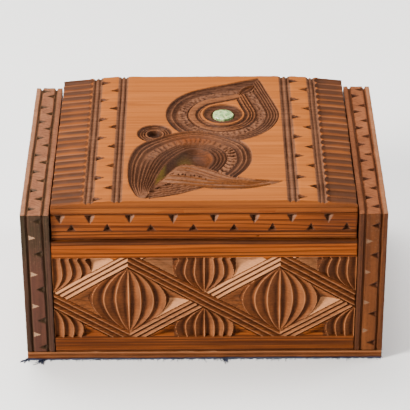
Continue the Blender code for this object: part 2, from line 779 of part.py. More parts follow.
def add_flutes(face, low, high):
    """Rounded hollows side by side across each end of the lid."""
    pitch = (high - low) / FLUTE_COUNT
    inner = LID_HALF - FLUTE_BAND
    for side in (-1, 1):
        start = face.at((side * inner, 0))
        end = face.at((side * LID_HALF, 0))
        along = end - start
        tilt = Matrix.Rotation(-math.atan2(along.z, along.x), 4, "Y")
        length = along.length + 2 * CHIP_LENGTH
        middle = start + along.normalized() * length / 2
        for i in range(FLUTE_COUNT):
            build = bmesh.new()
            bmesh.ops.create_cone(
                build, cap_ends=True, segments=FLUTE_SIDES, radius1=0.5, radius2=0.5, depth=1
            )
            turn = Matrix.Rotation(math.pi / 2, 4, "Y")
            bmesh.ops.transform(build, matrix=turn, verts=build.verts)
            bmesh.ops.scale(build, vec=(length, pitch * FLUTE_LAP, 2 * FLUTE_DEPTH), verts=build.verts)
            place = Matrix.Translation(middle + Vector((0, low + pitch * (i + 0.5), 0))) @ tilt
            bmesh.ops.transform(build, matrix=place, verts=build.verts)
            face.add_cutter(f"flute_{i}", build)


def add_lid_top_bands(face, low, high):
    """Paired grooves and chipped bands between the flutes and the middle of the lid."""
    outer_pair = LID_HALF - FLUTE_BAND - LID_GROOVE_WIDTH / 2
    band_out = outer_pair - GROOVE_PITCH - LID_GROOVE_WIDTH / 2
    band_in = band_out - NOTCH_BAND
    inner_pair = band_in - LID_GROOVE_WIDTH / 2
    lines = [outer_pair, outer_pair - GROOVE_PITCH, inner_pair, inner_pair - GROOVE_PITCH]
    first, between = staggered(LID_CHIPS, low, high)
    for side in (-1, 1):
        for i, x in enumerate(lines):
            ends = ((side * x, low - CHIP_LENGTH), (side * x, high + CHIP_LENGTH))
            straight_groove(face, f"lid_groove_{i}", *ends, LID_GROOVE_WIDTH, LID_GROOVE_DEPTH)
        left, right = (band_in, band_out) if side > 0 else (-band_out, -band_in)
        for i, v in enumerate(first):
            pointing_chip(face, f"lid_chip_right_{i}", (left, v), (1, 0))
        for i, v in enumerate(between):
            pointing_chip(face, f"lid_chip_left_{i}", (right, v), (-1, 0))


def add_lid_edge_band(face, with_chips):
    """The band along the lid's front or back edge: a groove above and below rows of chips."""
    top = LID_TOP - FRONT_BAND_TOP
    foot = top - FRONT_BAND_HEIGHT
    reach = LID_HALF + CHIP_LENGTH
    for label, z in (("top", top), ("foot", foot)):
        ends = ((-reach, z), (reach, z))
        straight_groove(face, f"edge_groove_{label}", *ends, FRONT_GROOVE_WIDTH, FRONT_GROOVE_DEPTH)
    if not with_chips:
        return
    pitch = 2 * LID_HALF / FRONT_CHIPS
    for i in range(FRONT_CHIPS):
        x = -LID_HALF + pitch * (i + 0.5)
        upper = top - FRONT_GROOVE_WIDTH / 2
        lower = foot + FRONT_GROOVE_WIDTH / 2
        length = FRONT_BAND_HEIGHT * FRONT_CHIP_SHARE
        pointing_chip(face, f"edge_chip_down_{i}", (x - pitch / 4, upper), (0, -1), length)
        pointing_chip(face, f"edge_chip_up_{i}", (x + pitch / 4, lower), (0, 1), length)


def add_lid(parts):
    """The lid: a thick board with a cambered top, rebated underneath to drop in between the panels."""
    start = LID_HALF - CAMBER_WIDTH
    right = [start + CAMBER_WIDTH * i / CAMBER_STEPS for i in range(CAMBER_STEPS + 1)]
    across = [-x for x in reversed(right)] + right
    bottom = LID_BOTTOM - LID_TONGUE
    outline = [(-LID_HALF, bottom), *((x, LID_TOP - camber(x)) for x in across), (LID_HALF, bottom)]
    middle = Matrix.Translation((0, (LID_FRONT + LID_BACK) / 2, 0))
    upright = middle @ Matrix.Rotation(math.pi / 2, 4, "X")
    lid = add_extrusion("lid", outline, LID_BACK - LID_FRONT, upright, parts, "lid_wood")
    cutters = make_collection("lid_cutters", False)
    inner = BOX_DEPTH / 2 - PANEL_DEPTH_IN - LID_TONGUE_GAP
    for side in (-1, 1):
        near, far = sorted((side * inner, side * (BOX_DEPTH / 2 + CHIP_LENGTH)))
        low = (-LID_HALF - CHIP_LENGTH, near, bottom - CHIP_LENGTH)
        high = (LID_HALF + CHIP_LENGTH, far, LID_BOTTOM)
        add_box(f"rebate_{side}", low, high, cutters)
    top = Face((0, 0, LID_TOP), (1, 0, 0), (0, 1, 0), cutters, lambda point: -camber(point[0]))
    add_flutes(top, LID_FRONT, LID_BACK)
    add_lid_top_bands(top, LID_FRONT, LID_BACK)
    add_lid_edge_band(Face((0, LID_FRONT, 0), (1, 0, 0), (0, 0, 1), cutters), True)
    add_lid_edge_band(Face((0, LID_BACK, 0), (-1, 0, 0), (0, 0, 1), cutters), False)
    figure = Figure(top, LID_FRONT + FIGURE_START)
    figure.carve_all()
    add_eye(figure, top, parts)
    carve(lid, cutters)


def add_eye(figure, top, parts):
    """The ring round the eye, the seat of the shell and the shell itself."""
    centre = figure.point(EYE_CENTRE)
    middle = (EYE_RING_RADIUS + SHELL_RADIUS) / 2
    sides = EYE_RING_SIDES
    turns = [2 * math.pi * i / sides for i in range(sides)]
    ring = [centre + Vector((math.cos(a), math.sin(a))) * middle for a in turns]
    width = EYE_RING_RADIUS - SHELL_RADIUS + SEAM
    widths, depths = [width] * sides, [EYE_RING_DEPTH] * sides
    stroke(top, "eye_ring", ring, widths, depths, closed=True, belly=EYE_RING_BELLY)
    seat_radius = SHELL_RADIUS + SEAM
    seat_depth = SHELL_SINK + SHELL_THICKNESS + SEAM
    build = bmesh.new()
    bmesh.ops.create_cone(
        build, cap_ends=True, segments=SHELL_SIDES, radius1=seat_radius, radius2=seat_radius,
        depth=seat_depth + CUTTER_RISE,
    )
    shift = top.at(centre, (CUTTER_RISE - seat_depth) / 2)
    bmesh.ops.translate(build, vec=shift, verts=build.verts)
    top.add_cutter("shell_seat", build)
    shell = bmesh.new()
    bmesh.ops.create_cone(
        shell, cap_ends=True, segments=SHELL_SIDES, radius1=SHELL_RADIUS, radius2=SHELL_RADIUS,
        depth=SHELL_THICKNESS,
    )
    inlay = add_object("shell_inlay", mesh_from("shell_inlay", shell), parts, "shell")
    inlay.location = top.matrix @ top.at(centre, -SHELL_SINK - SHELL_THICKNESS / 2)
    soften_edges(inlay, EDGE_CHAMFER)


def build_box():
    clear_scene()
    parts = make_collection("carved_trinket_box", True)
    add_felt_and_base(parts)
    add_end_board("left_end_board", -1, parts)
    add_end_board("right_end_board", 1, parts)
    add_panel("front_panel", -1, parts)
    add_panel("back_panel", 1, parts)
    add_lid(parts)


build_box()
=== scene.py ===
"""The looks of the carved trinket box: fine carving, wood, felt, shell, floor, light and camera.

Sizes in the carving are in millimetres, in the frame of the model: X to the right along the
carved front, Y into the box, Z up from the table. Each board is a block whose faces are grids
pushed inwards by the depth of the carving.
"""

import math

import bmesh
import bpy
import numpy as np
from mathutils import Matrix, Vector


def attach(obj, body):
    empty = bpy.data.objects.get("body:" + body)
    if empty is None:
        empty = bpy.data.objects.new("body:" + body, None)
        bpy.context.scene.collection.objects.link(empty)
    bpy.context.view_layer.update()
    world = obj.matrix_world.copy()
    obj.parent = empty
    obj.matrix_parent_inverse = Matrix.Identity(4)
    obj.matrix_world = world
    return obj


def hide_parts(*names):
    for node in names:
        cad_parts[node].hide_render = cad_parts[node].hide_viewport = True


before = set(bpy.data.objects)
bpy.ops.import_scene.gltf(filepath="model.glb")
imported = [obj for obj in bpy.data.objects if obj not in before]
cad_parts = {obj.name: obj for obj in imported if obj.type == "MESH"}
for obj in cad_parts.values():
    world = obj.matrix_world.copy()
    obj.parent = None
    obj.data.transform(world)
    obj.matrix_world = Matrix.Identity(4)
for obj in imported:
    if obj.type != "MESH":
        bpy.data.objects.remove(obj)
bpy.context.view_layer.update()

MM = 0.001
LEAST_CUT = 0.02
RING_SPACING = 0.0018
EDGE_MARGIN = 0.45
FINE = 0.34
COARSE = 0.5
TRIANGLE_LIMIT = 185000

# Places in the box, in millimetres
BASE_TOP = 5.4
WALL_BOTTOM = 5.7
END_TOP = 91.5
PANEL_TOP = 74.9
LID_BOTTOM = 75.2
LID_TOP = 98.8
TONGUE = 3.0
TONGUE_INSET = 12.2
HALF_WIDTH = 95.0
HALF_DEPTH = 69.75
INNER_X = 80.0
LID_HALF = 79.2
CAMBER_START = 44.7
CAMBER_DROP = 2.8
CAMBER_POWER = 1.4
FLUTE_START = 63.5
FLUTE_ENDS = (-61.9, 63.2)
FLUTE_COUNT = 21
FLUTE_DEPTH = 1.8
FLUTE_ROUNDING = 2.6
LID_GROOVES = (
    (-60.7, 2.3), (-58.2, 2.0), (-46.0, 2.2), (-43.6, 2.0),
    (62.1, 2.3), (60.0, 1.8), (47.4, 2.4), (44.5, 2.6),
)
LID_DIRTY_STRIPS = ((-62.0, -56.6), (-47.6, -42.3), (58.8, 63.5), (43.0, 49.0))
LID_BANDS = ((-57.0, -47.3), (48.9, 59.0))
# Chips along each side of a band: which way they point, their number, first place, gap and seeds
BAND_CHIPS = ((1, 7, 131.1, 21.2, 30, 300), (-1, 6, 121.5, 21.3, 60, 400))
LID_FRONT = -67.85
LID_BACK = 69.45
PANEL_HALF = 79.7
PANEL_FACE = 69.35
PANEL_THICKNESS = 11.0
FIELD = (14.7, 64.7)
# Heights of the chips on the front of the left (-1) and right (1) end board, above their foot
END_OUTER_CHIPS = {-1: (76.5, 54, 33.9, 15.9), 1: (82.8, 64.6, 46.2, 27.8, 9.4)}
END_INNER_CHIPS = {-1: (86.5, 66.5, 44.4, 24.8, 7.6), 1: (73.3, 54.3, 35.3, 17.3)}
END_CHIP_FOOT = 1.2
FIGURE_Y = -68.25
FELT_INSET = 0.6
FELT_TOP = 1.05
FELT_FIBRES = 1400
# Place, number and length of the fibres in each tuft
FELT_TUFTS = ((-94.2, -68.0, 30, 5.0), (-87, -69.2, 34, 4.4), (11, -69.2, 30, 3.0))
SHELL_TOP = LID_TOP - 0.45
SHELL_PLACE = (10.8, FIGURE_Y + 92.9)
SHELL_RADIUS = 5.7
SHELL_SIDES = 96

RESIDUE_COLOUR = (0.19, 0.13, 0.015)

# The camera that the photograph was taken with
CAMERA_PLACE = (-2.0, -981.6, 649.6)
CAMERA_PITCH = math.radians(31.21)
CAMERA_YAW = math.radians(0.158)
CAMERA_ROLL = math.radians(-0.238)
CAMERA_LENS = 182.6
CAMERA_SENSOR = 36.0
LIGHT_TARGET = (0, 0, 0.04)


# Numbers that vary by hand


def noise_weights(places, cell, count):
    """Weights that blend a row of lattice values smoothly over these places."""
    at = (places - places[0]) / cell
    near = np.clip(at.astype(int), 0, count - 2)
    share = at - near
    share = share * share * (3 - 2 * share)
    weights = np.zeros((len(places), count))
    weights[np.arange(len(places)), near] = 1 - share
    weights[np.arange(len(places)), near + 1] = share
    return weights


def noise_grid(us, vs, cell_u, cell_v, seed):
    """Smooth noise from -1 to 1 over a grid."""
    random = np.random.default_rng(seed)
    count_u = int((us[-1] - us[0]) / cell_u) + 3
    count_v = int((vs[-1] - vs[0]) / cell_v) + 3
    lattice = random.uniform(-1, 1, (count_u, count_v))
    return noise_weights(us, cell_u, count_u) @ lattice @ noise_weights(vs, cell_v, count_v).T


def jitter(count, amount, seed):
    return np.random.default_rng(seed).uniform(-amount, amount, count)


def smooth_step(x, low, high):
    t = np.clip((x - low) / (high - low), 0, 1)
    return t * t * (3 - 2 * t)


def bell(x, middle, width):
    """A smooth hump, 1 at its middle."""
    return np.exp(-(((x - middle) / width) ** 2))


def blend(share, a, b):
    return a * (1 - share) + b * share


def curve_through(points, steps=6):
    """A smooth curve through the points."""
    points = [np.array(p, float) for p in points]
    ends = [2 * points[0] - points[1], *points, 2 * points[-1] - points[-2]]
    path = []
    for before, start, end, after in zip(ends, ends[1:], ends[2:], ends[3:]):
        for step in range(steps):
            t = step / steps
            bend = 2 * before - 5 * start + 4 * end - after
            twist = 3 * start - before - 3 * end + after
            path.append((2 * start + (end - before) * t + bend * t * t + twist * t**3) / 2)
    return np.array([*path, points[-1]])


# Carving on one face


class Relief:
    """How deep one face is cut, in millimetres, and what its wood looks like there, 0 to 1.

    The first layer is dark dirt in a cut together with painted shade, the second is pale wood that
    the varnish left bare together with painted highlights, moss is residue, tone is how much of the
    deeper colour of the box's edges and fronts it has, and calm is how far the grain is hidden.
    """

    LAYERS = ("stain", "raw", "moss", "tone", "calm")

    def __init__(self, us, vs):
        self.us, self.vs = us, vs
        for layer in ("depth", *self.LAYERS):
            setattr(self, layer, np.zeros((len(us), len(vs))))

    def window(self, low_u, high_u, low_v, high_v):
        i = slice(*np.searchsorted(self.us, (low_u, high_u)))
        j = slice(*np.searchsorted(self.vs, (low_v, high_v)))
        u, v = np.meshgrid(self.us[i], self.vs[j], indexing="ij")
        return (i, j), u, v

    def cut(self, where, depth, stain, raw=0.0):
        """Take these values wherever they cut deeper than what is there."""
        deeper = depth > np.maximum(self.depth[where], LEAST_CUT)
        self.set_region(where, deeper, depth, stain, raw)

    def set_region(self, where, inside, depth, stain, raw, **others):
        """Take these values wherever inside holds."""
        for layer, value in {"depth": depth, "stain": stain, "raw": raw, **others}.items():
            part = getattr(self, layer)[where]
            part[inside] = np.broadcast_to(value, inside.shape)[inside]

    def groove(self, path, width, depth, stain):
        """A V cut along a path. Width and depth are one value or one for each point."""
        path = np.asarray(path, float)
        widths = np.broadcast_to(width, len(path))
        depths = np.broadcast_to(depth, len(path))
        for a, b, wa, wb, da, db in zip(path, path[1:], widths, widths[1:], depths, depths[1:]):
            reach = max(wa, wb) / 2
            low, high = np.minimum(a, b) - reach, np.maximum(a, b) + reach
            where, u, v = self.window(low[0], high[0], low[1], high[1])
            if not u.size:
                continue
            share, distance = along_segment(u, v, a, b)
            half = (wa + (wb - wa) * share) / 2
            full = da + (db - da) * share
            profile = np.clip(1 - distance / half, 0, 1)
            self.cut(where, full * profile, stain * (0.5 + 0.5 * profile))

    def pocket(self, corners, deepest, depth, stain, raw=0.0, lit=0.0):
        """A cut with one flat wall from each side of a polygon down to a deepest point.

        lit is how much paler the wall that faces left is.
        """
        corners = np.array(corners, float)
        low, high = corners.min(axis=0), corners.max(axis=0)
        where, u, v = self.window(low[0], high[0], low[1], high[1])
        if not u.size:
            return
        level = np.full(u.shape, 1e9)
        faces_left = np.zeros(u.shape)
        middle = corners.mean(axis=0)
        for a, b in zip(corners, np.roll(corners, -1, axis=0)):
            normal = np.array((a[1] - b[1], b[0] - a[0]))
            normal /= np.linalg.norm(normal)
            if normal @ (middle - a) < 0:
                normal = -normal
            away = (u - a[0]) * normal[0] + (v - a[1]) * normal[1]
            wall = away / max(normal @ (np.array(deepest) - a), 0.05)
            faces_left = np.where(wall < level, float(normal[0] < -0.6), faces_left)
            level = np.minimum(level, wall)
        paler = lit * faces_left
        self.cut(where, depth * np.clip(level, 0, 1), stain * (1 - paler), raw + paler)

    def chip(self, base, direction, length, width, depth, seed, stain=0.95, raw=0.0, lit=0.0):
        """A triangular chip. Its base is centred on a point and its tip lies along a direction."""
        # Unless told otherwise the chip is painted dark, with dirt and painted shade in it.
        change = jitter(4, 1, seed)
        direction = np.array(direction, float)
        across = np.array((-direction[1], direction[0]))
        base = np.array(base, float) - direction * 0.3
        length *= 1 + 0.06 * change[0]
        width *= 1 + 0.08 * change[1]
        tip = base + direction * length + across * 0.25 * change[2]
        corners = [base + across * width / 2, base - across * width / 2, tip]
        deepest = base + (tip - base) * 0.3
        self.pocket(corners, deepest, depth * (1 + 0.1 * change[3]), stain, raw, lit)


def straight_groove(relief, place, wander, low, high, upright, width, depth, stain):
    """A groove from edge to edge of a face, at one place but for its wander."""
    along = np.linspace(low - 1, high + 1, len(wander))
    across = place + wander
    path = np.column_stack([across, along] if upright else [along, across])
    relief.groove(path, width, depth, stain)


def along_segment(u, v, a, b):
    """Share of the way along a segment, and distance from it."""
    d = b - a
    share = np.clip(((u - a[0]) * d[0] + (v - a[1]) * d[1]) / max(d @ d, 1e-12), 0, 1)
    return share, np.hypot(u - a[0] - d[0] * share, v - a[1] - d[1] * share)


def nearest_on_path(u, v, path):
    """Distance from a path, and how far along it the nearest place is."""
    best = np.full(u.shape, 1e9)
    place = np.zeros(u.shape)
    travelled = 0.0
    for a, b in zip(path, path[1:]):
        share, distance = along_segment(u, v, a, b)
        length = math.dist(a, b)
        closer = distance < best
        best = np.where(closer, distance, best)
        place = np.where(closer, travelled + share * length, place)
        travelled += length
    return best, place


def inside_polygon(u, v, polygon):
    inside = np.zeros(u.shape, bool)
    for a, b in zip(polygon, np.roll(polygon, -1, axis=0)):
        if a[1] == b[1]:
            continue
        crosses = (a[1] > v) != (b[1] > v)
        inside ^= crosses & (u < (b[0] - a[0]) * (v - a[1]) / (b[1] - a[1]) + a[0])
    return inside


def ridge_profile(x, marks):
    """Depth at x from (place, depth) marks, in straight lines between them."""
    return np.interp(x, *zip(*marks))


# Boards


def axis_places(low, high, spacing, fine=None):
    """Grid places from low to high. fine is a (start, end, spacing) stretch with its own pitch."""
    first, last = low + EDGE_MARGIN, high - EDGE_MARGIN
    stretches = [(first, last, spacing)]
    if fine:
        start, end, closer = fine
        stretches = [(first, start, spacing), (start, end, closer), (end, last, spacing)]
    places = [low]
    for start, end, pitch in stretches:
        count = max(1, round((end - start) / pitch))
        places += [start + (end - start) * i / count for i in range(count)]
    return np.array([*places, last, high])


def other_axes(axis):
    return [i for i in range(3) if i != axis]


def vertex_places(mesh):
    numbers = np.zeros(len(mesh.vertices) * 3)
    mesh.vertices.foreach_get("co", numbers)
    return numbers.reshape(-1, 3)


class Board:
    """A block in millimetres with some of its faces carved."""

    NOTCH_REACH = 0.6
    WEAR_REACH = 1.1
    FLUTES_REACH_DOWN = 6

    def __init__(self, name, places, wear, seed, drop=None, keep_beyond=None):
        """drop is how far the top curves down at x. Beyond keep_beyond in x it isn't simplified."""
        self.name, self.places, self.wear, self.seed = name, places, wear, seed
        self.drop, self.keep_beyond = drop, keep_beyond
        self.reliefs = {}

    def face(self, axis, sign):
        """The relief of the face on this axis and side, made when first asked for."""
        key = (axis, sign)
        if key not in self.reliefs:
            u, v = other_axes(axis)
            self.reliefs[key] = Relief(self.places[u], self.places[v])
        return self.reliefs[key]

    def plane(self, axis, sign):
        return self.places[axis][-1 if sign > 0 else 0]

    def face_points(self, axis, sign):
        """Base points of a face, pushed in by its own carving, its neighbours' and wear."""
        u, v = other_axes(axis)
        grid_u, grid_v = np.meshgrid(self.places[u], self.places[v], indexing="ij")
        points = np.zeros((*grid_u.shape, 3))
        points[..., u], points[..., v] = grid_u, grid_v
        points[..., axis] = self.plane(axis, sign)
        moved = np.zeros_like(points)
        relief = self.reliefs.get((axis, sign))
        if relief is not None:
            moved[..., axis] -= sign * relief.depth
        for (other, side), neighbour in self.reliefs.items():
            if other == axis:
                continue
            away = np.abs(points[..., other] - self.plane(other, side))
            third = 3 - axis - other
            end = -1 if sign > 0 else 0
            edge = neighbour.depth[end, :] if axis < third else neighbour.depth[:, end]
            edge = edge[:, None] if third == u else edge[None, :]
            reach = self.NOTCH_REACH + 1.5 * edge
            moved[..., other] -= side * edge * np.clip(1 - away / reach, 0, 1)
        self.add_wear(points, moved, axis, sign, u, v)
        return points + moved

    def add_wear(self, points, moved, axis, sign, u, v):
        """Round the arrises, more in some places than in others."""
        for other in (u, v):
            third = v if other == u else u
            for side in (-1, 1):
                away = np.abs(points[..., other] - self.plane(other, side))
                near = np.clip(1 - away / self.WEAR_REACH, 0, 1) ** 2
                edge_seed = self.seed * 97 + sum((axis + other + third, sign, side)) % 11 + third * 13
                rough = noise_grid(self.places[third], np.array([0.0, 1.0]), 2.3, 1.0, edge_seed)
                slow = noise_grid(self.places[third], np.array([0.0, 1.0]), 17, 1.0, edge_seed + 5)
                amount = self.wear * np.clip(1 + 0.5 * rough[:, 0] + 0.5 * slow[:, 0], 0.35, 1.9)
                amount = amount[None, :] if third == v else amount[:, None]
                moved[..., axis] -= sign * near * amount
                at_edge = away < 1e-6
                moved[..., other] -= side * np.where(at_edge, amount, 0)

    def build(self, material, slot, share=1.0):
        """The piece, with no more than its share of the triangle limit."""
        counts = [len(p) for p in self.places]
        keys, coords, faces = [], [], []
        start = 0
        for axis in range(3):
            for sign in (-1, 1):
                u, v = other_axes(axis)
                points = self.face_points(axis, sign)
                index = np.zeros((*points.shape[:2], 3), np.int64)
                index[..., u] = np.arange(counts[u])[:, None]
                index[..., v] = np.arange(counts[v])[None, :]
                index[..., axis] = counts[axis] - 1 if sign > 0 else 0
                key = (index[..., 0] * counts[1] + index[..., 1]) * counts[2] + index[..., 2]
                number = np.arange(key.size).reshape(key.shape) + start
                start += key.size
                keys.append(key.ravel())
                coords.append(points.reshape(-1, 3))
                flip = (sign < 0) != (axis == 1)
                if (axis, sign) in self.reliefs:
                    a, b = number[:-1, :-1], number[1:, :-1]
                    c, d = number[1:, 1:], number[:-1, 1:]
                    quads = np.stack([a, b, c, d] if not flip else [a, d, c, b], axis=-1)
                    faces += quads.reshape(-1, 4).tolist()
                else:
                    ring = [*number[:, 0], *number[-1, 1:], *number[-2::-1, -1], *number[0, -2:0:-1]]
                    faces.append([int(i) for i in (ring[::-1] if flip else ring)])
        keys, coords = np.concatenate(keys), np.concatenate(coords)
        _, first, merged = np.unique(keys, return_index=True, return_inverse=True)
        merged = merged.reshape(-1)
        used = sorted({merged[i] for face in faces for i in face})
        renumber = np.full(len(first), -1)
        renumber[used] = np.arange(len(used))
        mesh = bpy.data.meshes.new(self.name)
        faces = [[int(renumber[merged[i]]) for i in face] for face in faces]
        mesh.from_pydata((coords[first][used] * MM).tolist(), [], faces)
        obj = bpy.data.objects.new(self.name, mesh)
        bpy.context.scene.collection.objects.link(obj)
        self.simplify(obj, share)
        self.add_attributes(obj.data)
        finish_piece(obj, material)
        return obj

    def simplify(self, obj, share):
        """Fewer triangles where the surface is flat."""
        triangles = sum(len(p.vertices) - 2 for p in obj.data.polygons)
        limit = TRIANGLE_LIMIT * share
        if triangles <= limit:
            return
        decimate = obj.modifiers.new("Simplify", "DECIMATE")
        decimate.ratio = limit / triangles
        if self.keep_beyond:
            group = obj.vertex_groups.new(name="flat")
            reach, foot = self.keep_beyond * MM, (self.plane(2, 1) - self.FLUTES_REACH_DOWN) * MM
            free = [v.index for v in obj.data.vertices if abs(v.co.x) < reach or v.co.z < foot]
            group.add(free, 1.0, "REPLACE")
            decimate.vertex_group = group.name
            decimate.vertex_group_factor = 100
        graph = bpy.context.evaluated_depsgraph_get()
        simple = bpy.data.meshes.new_from_object(obj.evaluated_get(graph))
        obj.modifiers.remove(decimate)
        low = [places[0] * MM for places in self.places]
        high = [places[-1] * MM for places in self.places]
        inside = np.clip(vertex_places(simple), low, high)
        simple.vertices.foreach_set("co", inside.ravel())
        old = obj.data
        obj.data = simple
        bpy.data.meshes.remove(old)
        obj.vertex_groups.clear()

    def add_attributes(self, mesh):
        """Depth of cut and the relief's layers at each vertex, from the face that it lies on."""
        points = vertex_places(mesh) / MM
        count = len(points)
        nearest = np.full(count, 1e9)
        cut = np.zeros(count)
        layers = {name: np.zeros(count) for name in Relief.LAYERS}
        for (axis, sign), relief in self.reliefs.items():
            u, v = other_axes(axis)
            away = np.abs(points[:, axis] - self.plane(axis, sign))
            i = np.searchsorted((relief.us[1:] + relief.us[:-1]) / 2, points[:, u])
            j = np.searchsorted((relief.vs[1:] + relief.vs[:-1]) / 2, points[:, v])
            off = np.abs(away - relief.depth[i, j])
            closer = off < nearest - 0.05
            nearest = np.where(closer, off, nearest)
            on_face = closer & (off < 1.5)
            depth = relief.depth[i, j]
            if self.drop is not None and axis == 2:
                depth = depth - self.drop(points[:, 0])
            cut = np.where(on_face, depth, np.where(closer, 0, cut))
            for name, values in layers.items():
                painted = getattr(relief, name)[i, j]
                layers[name] = np.where(on_face, painted, np.where(closer, 0, values))
        for name, values in {"cut": cut, **layers}.items():
            layer = mesh.attributes.new(name, "FLOAT", "POINT")
            layer.data.foreach_set("value", values.astype(np.float32))


def finish_piece(obj, material, sharp=42):
    """Give a piece its material and shading, and say what it rides."""
    obj.data.materials.clear()
    obj.data.materials.append(material)
    obj.data.shade_smooth()
    obj.data.set_sharp_from_angle(angle=math.radians(sharp))
    weighted = obj.modifiers.new("Even normals", "WEIGHTED_NORMAL")
    weighted.keep_sharp = True
    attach(obj, "root")


def add_object(name, build):
    """An object with the mesh that was built."""
    mesh = bpy.data.meshes.new(name)
    build.to_mesh(mesh)
    build.free()
    obj = bpy.data.objects.new(name, mesh)
    bpy.context.scene.collection.objects.link(obj)
    return obj


def skin(build, rings):
    """Join rings of vertices one after the other, and close both ends."""
    for low, high in zip(rings, rings[1:]):
        for i in range(len(low)):
            j = (i + 1) % len(low)
            build.faces.new((low[i], low[j], high[j], high[i]))
    build.faces.new(rings[0][::-1])
    build.faces.new(rings[-1])


# The figure on the lid


class Figure:
    """The bird-headed scroll figure, sunk into the lid's top. Its y starts at the lid's front."""

    EYE = np.array((10.6, 93.0))
    TIP_ANGLE = math.radians(63.5)
    TIP_SPREAD = math.acos(1 / 1.498)
    OUTER = [
        (-30.4, 2.6), (-34.2, 4.3), (-36.4, 8.8), (-38.9, 17), (-40, 27), (-40.1, 37),
        (-39.2, 46), (-36.6, 55), (-32.2, 61), (-25, 66.6), (-16, 71.6), (-5.5, 74.2),
        (5, 72.2), (14, 67), (21.3, 61.4), (24.9, 54.3), (26, 46), (25.3, 39), (22, 31),
        (16.9, 23.5),
    ]
    INNER = [
        (-28.9, 7), (-28.2, 12), (-25.9, 20.4), (-23.4, 29), (-19.8, 39), (-15, 46.9),
        (-10.9, 52.1), (-6.2, 55), (-1.2, 53.8), (3, 50.4), (4.9, 45), (4.1, 40), (1.9, 35.4),
    ]
    MOUTH_FLOOR = [
        (-3.1, 37.1), (-7, 38.4), (-10.9, 38.8), (-14.6, 35.6), (-17.6, 30.4), (-20, 26),
        (-22.6, 22.7), (-25.3, 17.7), (-28, 11),
    ]
    TONGUE = [
        (-11.5, 38.7), (-5.9, 38), (1, 35.2), (8, 30.4), (14.5, 25.6), (20, 23.9), (28, 21.5),
        (35, 20.7), (41.3, 20), (36, 17), (30.2, 14.6), (24, 13), (16, 11.9), (9, 12),
        (2, 14), (-3.1, 15.2), (-10.9, 17.1), (-17, 19.3), (-22, 21.5), (-18, 30), (-14.8, 35.4),
    ]
    JAW = [
        (-28.4, 2.3), (-19.8, 4.3), (-12, 7), (-4, 11), (1.4, 14), (-3.1, 15.6), (-10.9, 17.5),
        (-16.6, 19.4), (-20, 17.6), (-24, 14.2), (-28.6, 9.6),
    ]
    # Each groove's points, width and depth
    TONGUE_CUTS = [
        ([(-12.6, 38.2), (-6, 36.9), (1, 33.7), (8, 29), (15, 24.4), (23, 21.9), (34, 20.6)],
         1.9, 1.1),
        ([(-13.6, 34.6), (-7, 33.8), (0, 30), (7, 25.4), (14, 22), (24, 20.2), (33, 19.8)],
         1.8, 1.2),
        ([(-14, 32), (-8, 31.6), (-2, 28.2), (5, 24), (12, 21), (20, 19.4), (30, 19.2)],
         1.5, 0.9),
        ([(-19, 26.4), (-10, 25.6), (-3, 23.4), (6, 20.9), (14, 19.2), (24, 18.3), (33, 18.7)],
         2.0, 1.3),
        ([(-20.4, 22.6), (-10, 20.9), (0, 18.8), (10, 17.9), (20, 17), (29, 17.2)], 2.1, 1.3),
        ([(-20, 19.8), (-12, 18.2), (-2, 16.2), (8, 14.6), (18, 14.3), (27, 15.4), (35, 17.8)],
         2.2, 1.4),
        ([(-2, 14.6), (5, 12.7), (12, 12), (20, 12.6), (28, 14.4), (36, 17.2), (41, 19.8)],
         1.5, 1.2),
    ]
    TONGUE_PITS = [(-17, 28.5), (-8, 27.5), (1, 23.8)]
    NOSE = np.array((-26.4, 71.2))
    NOSE_RADIUS = 9.7
    EYE_RING_PLACE = np.array((10.8, 93.0))
    EYE_RING_RADIUS = 11.1
    TEAR_INNER, TEAR_OUTER = 11.9, 31.3
    LEAF_PLACE = np.array((24.6, 121.3))
    LEAF_TURN = math.radians(52)
    LEAF_HALF_LENGTH, LEAF_HALF_WIDTH = 7.2, 3.3
    TEAR_LEFT = [
        (11.9, 0.0), (12.4, 0.9), (13.0, 0.35), (14.2, 1.7), (15.0, 0.55), (17.4, 0.45),
        (18.4, 0.2), (19.1, 1.5), (19.7, 0.65), (24.6, 0.6), (25.8, 1.7), (27.2, 1.1),
        (28.0, 0.15), (28.6, 1.2), (30.4, 1.7), (31.3, 0.0),
    ]
    TEAR_RIGHT = [
        (11.9, 0.0), (12.8, 1.5), (14.6, 0.3), (15.4, 1.3), (16.2, 0.3), (16.9, 1.3),
        (17.7, 0.3), (18.8, 1.5), (19.5, 0.6), (23.6, 0.6), (24.6, 1.6), (25.4, 0.35),
        (26.2, 1.3), (27.0, 0.3), (27.8, 1.3), (28.6, 0.3), (29.3, 1.2), (30.0, 0.25),
        (30.9, 1.2), (31.3, 0.0),
    ]
    RING_UPPER = [
        (0.0, 0.0), (0.05, 1.6), (0.105, 1.5), (0.14, 0.25), (0.19, 1.4), (0.245, 0.3),
        (0.33, 1.5), (0.385, 0.7), (0.62, 0.7), (0.655, 1.5), (0.69, 0.4), (0.735, 1.5),
        (0.78, 0.4), (0.825, 1.6), (0.87, 0.4), (0.92, 1.6), (0.965, 0.5), (1.0, 0.8),
    ]
    RING_LOWER = [
        *RING_UPPER[:7], (0.40, 0.35), (0.45, 1.4), (0.51, 0.35), (0.56, 1.4), (0.62, 0.4),
        *RING_UPPER[9:],
    ]

    def __init__(self, relief):
        self.relief = relief
        self.where, self.x, y = relief.window(-42.4, 43.4, LID_FRONT + 1, LID_BACK - 0.5)
        self.y = y - FIGURE_Y
        us, vs = relief.us[self.where[0]], relief.vs[self.where[1]]
        self.grain = noise_grid(us, vs, 0.9, 0.9, 4)
        self.wander = noise_grid(us, vs, 9, 9, 5)

    def set_region(self, inside, depth, stain, raw, **others):
        self.relief.set_region(self.where, inside, depth, stain, raw, **others)

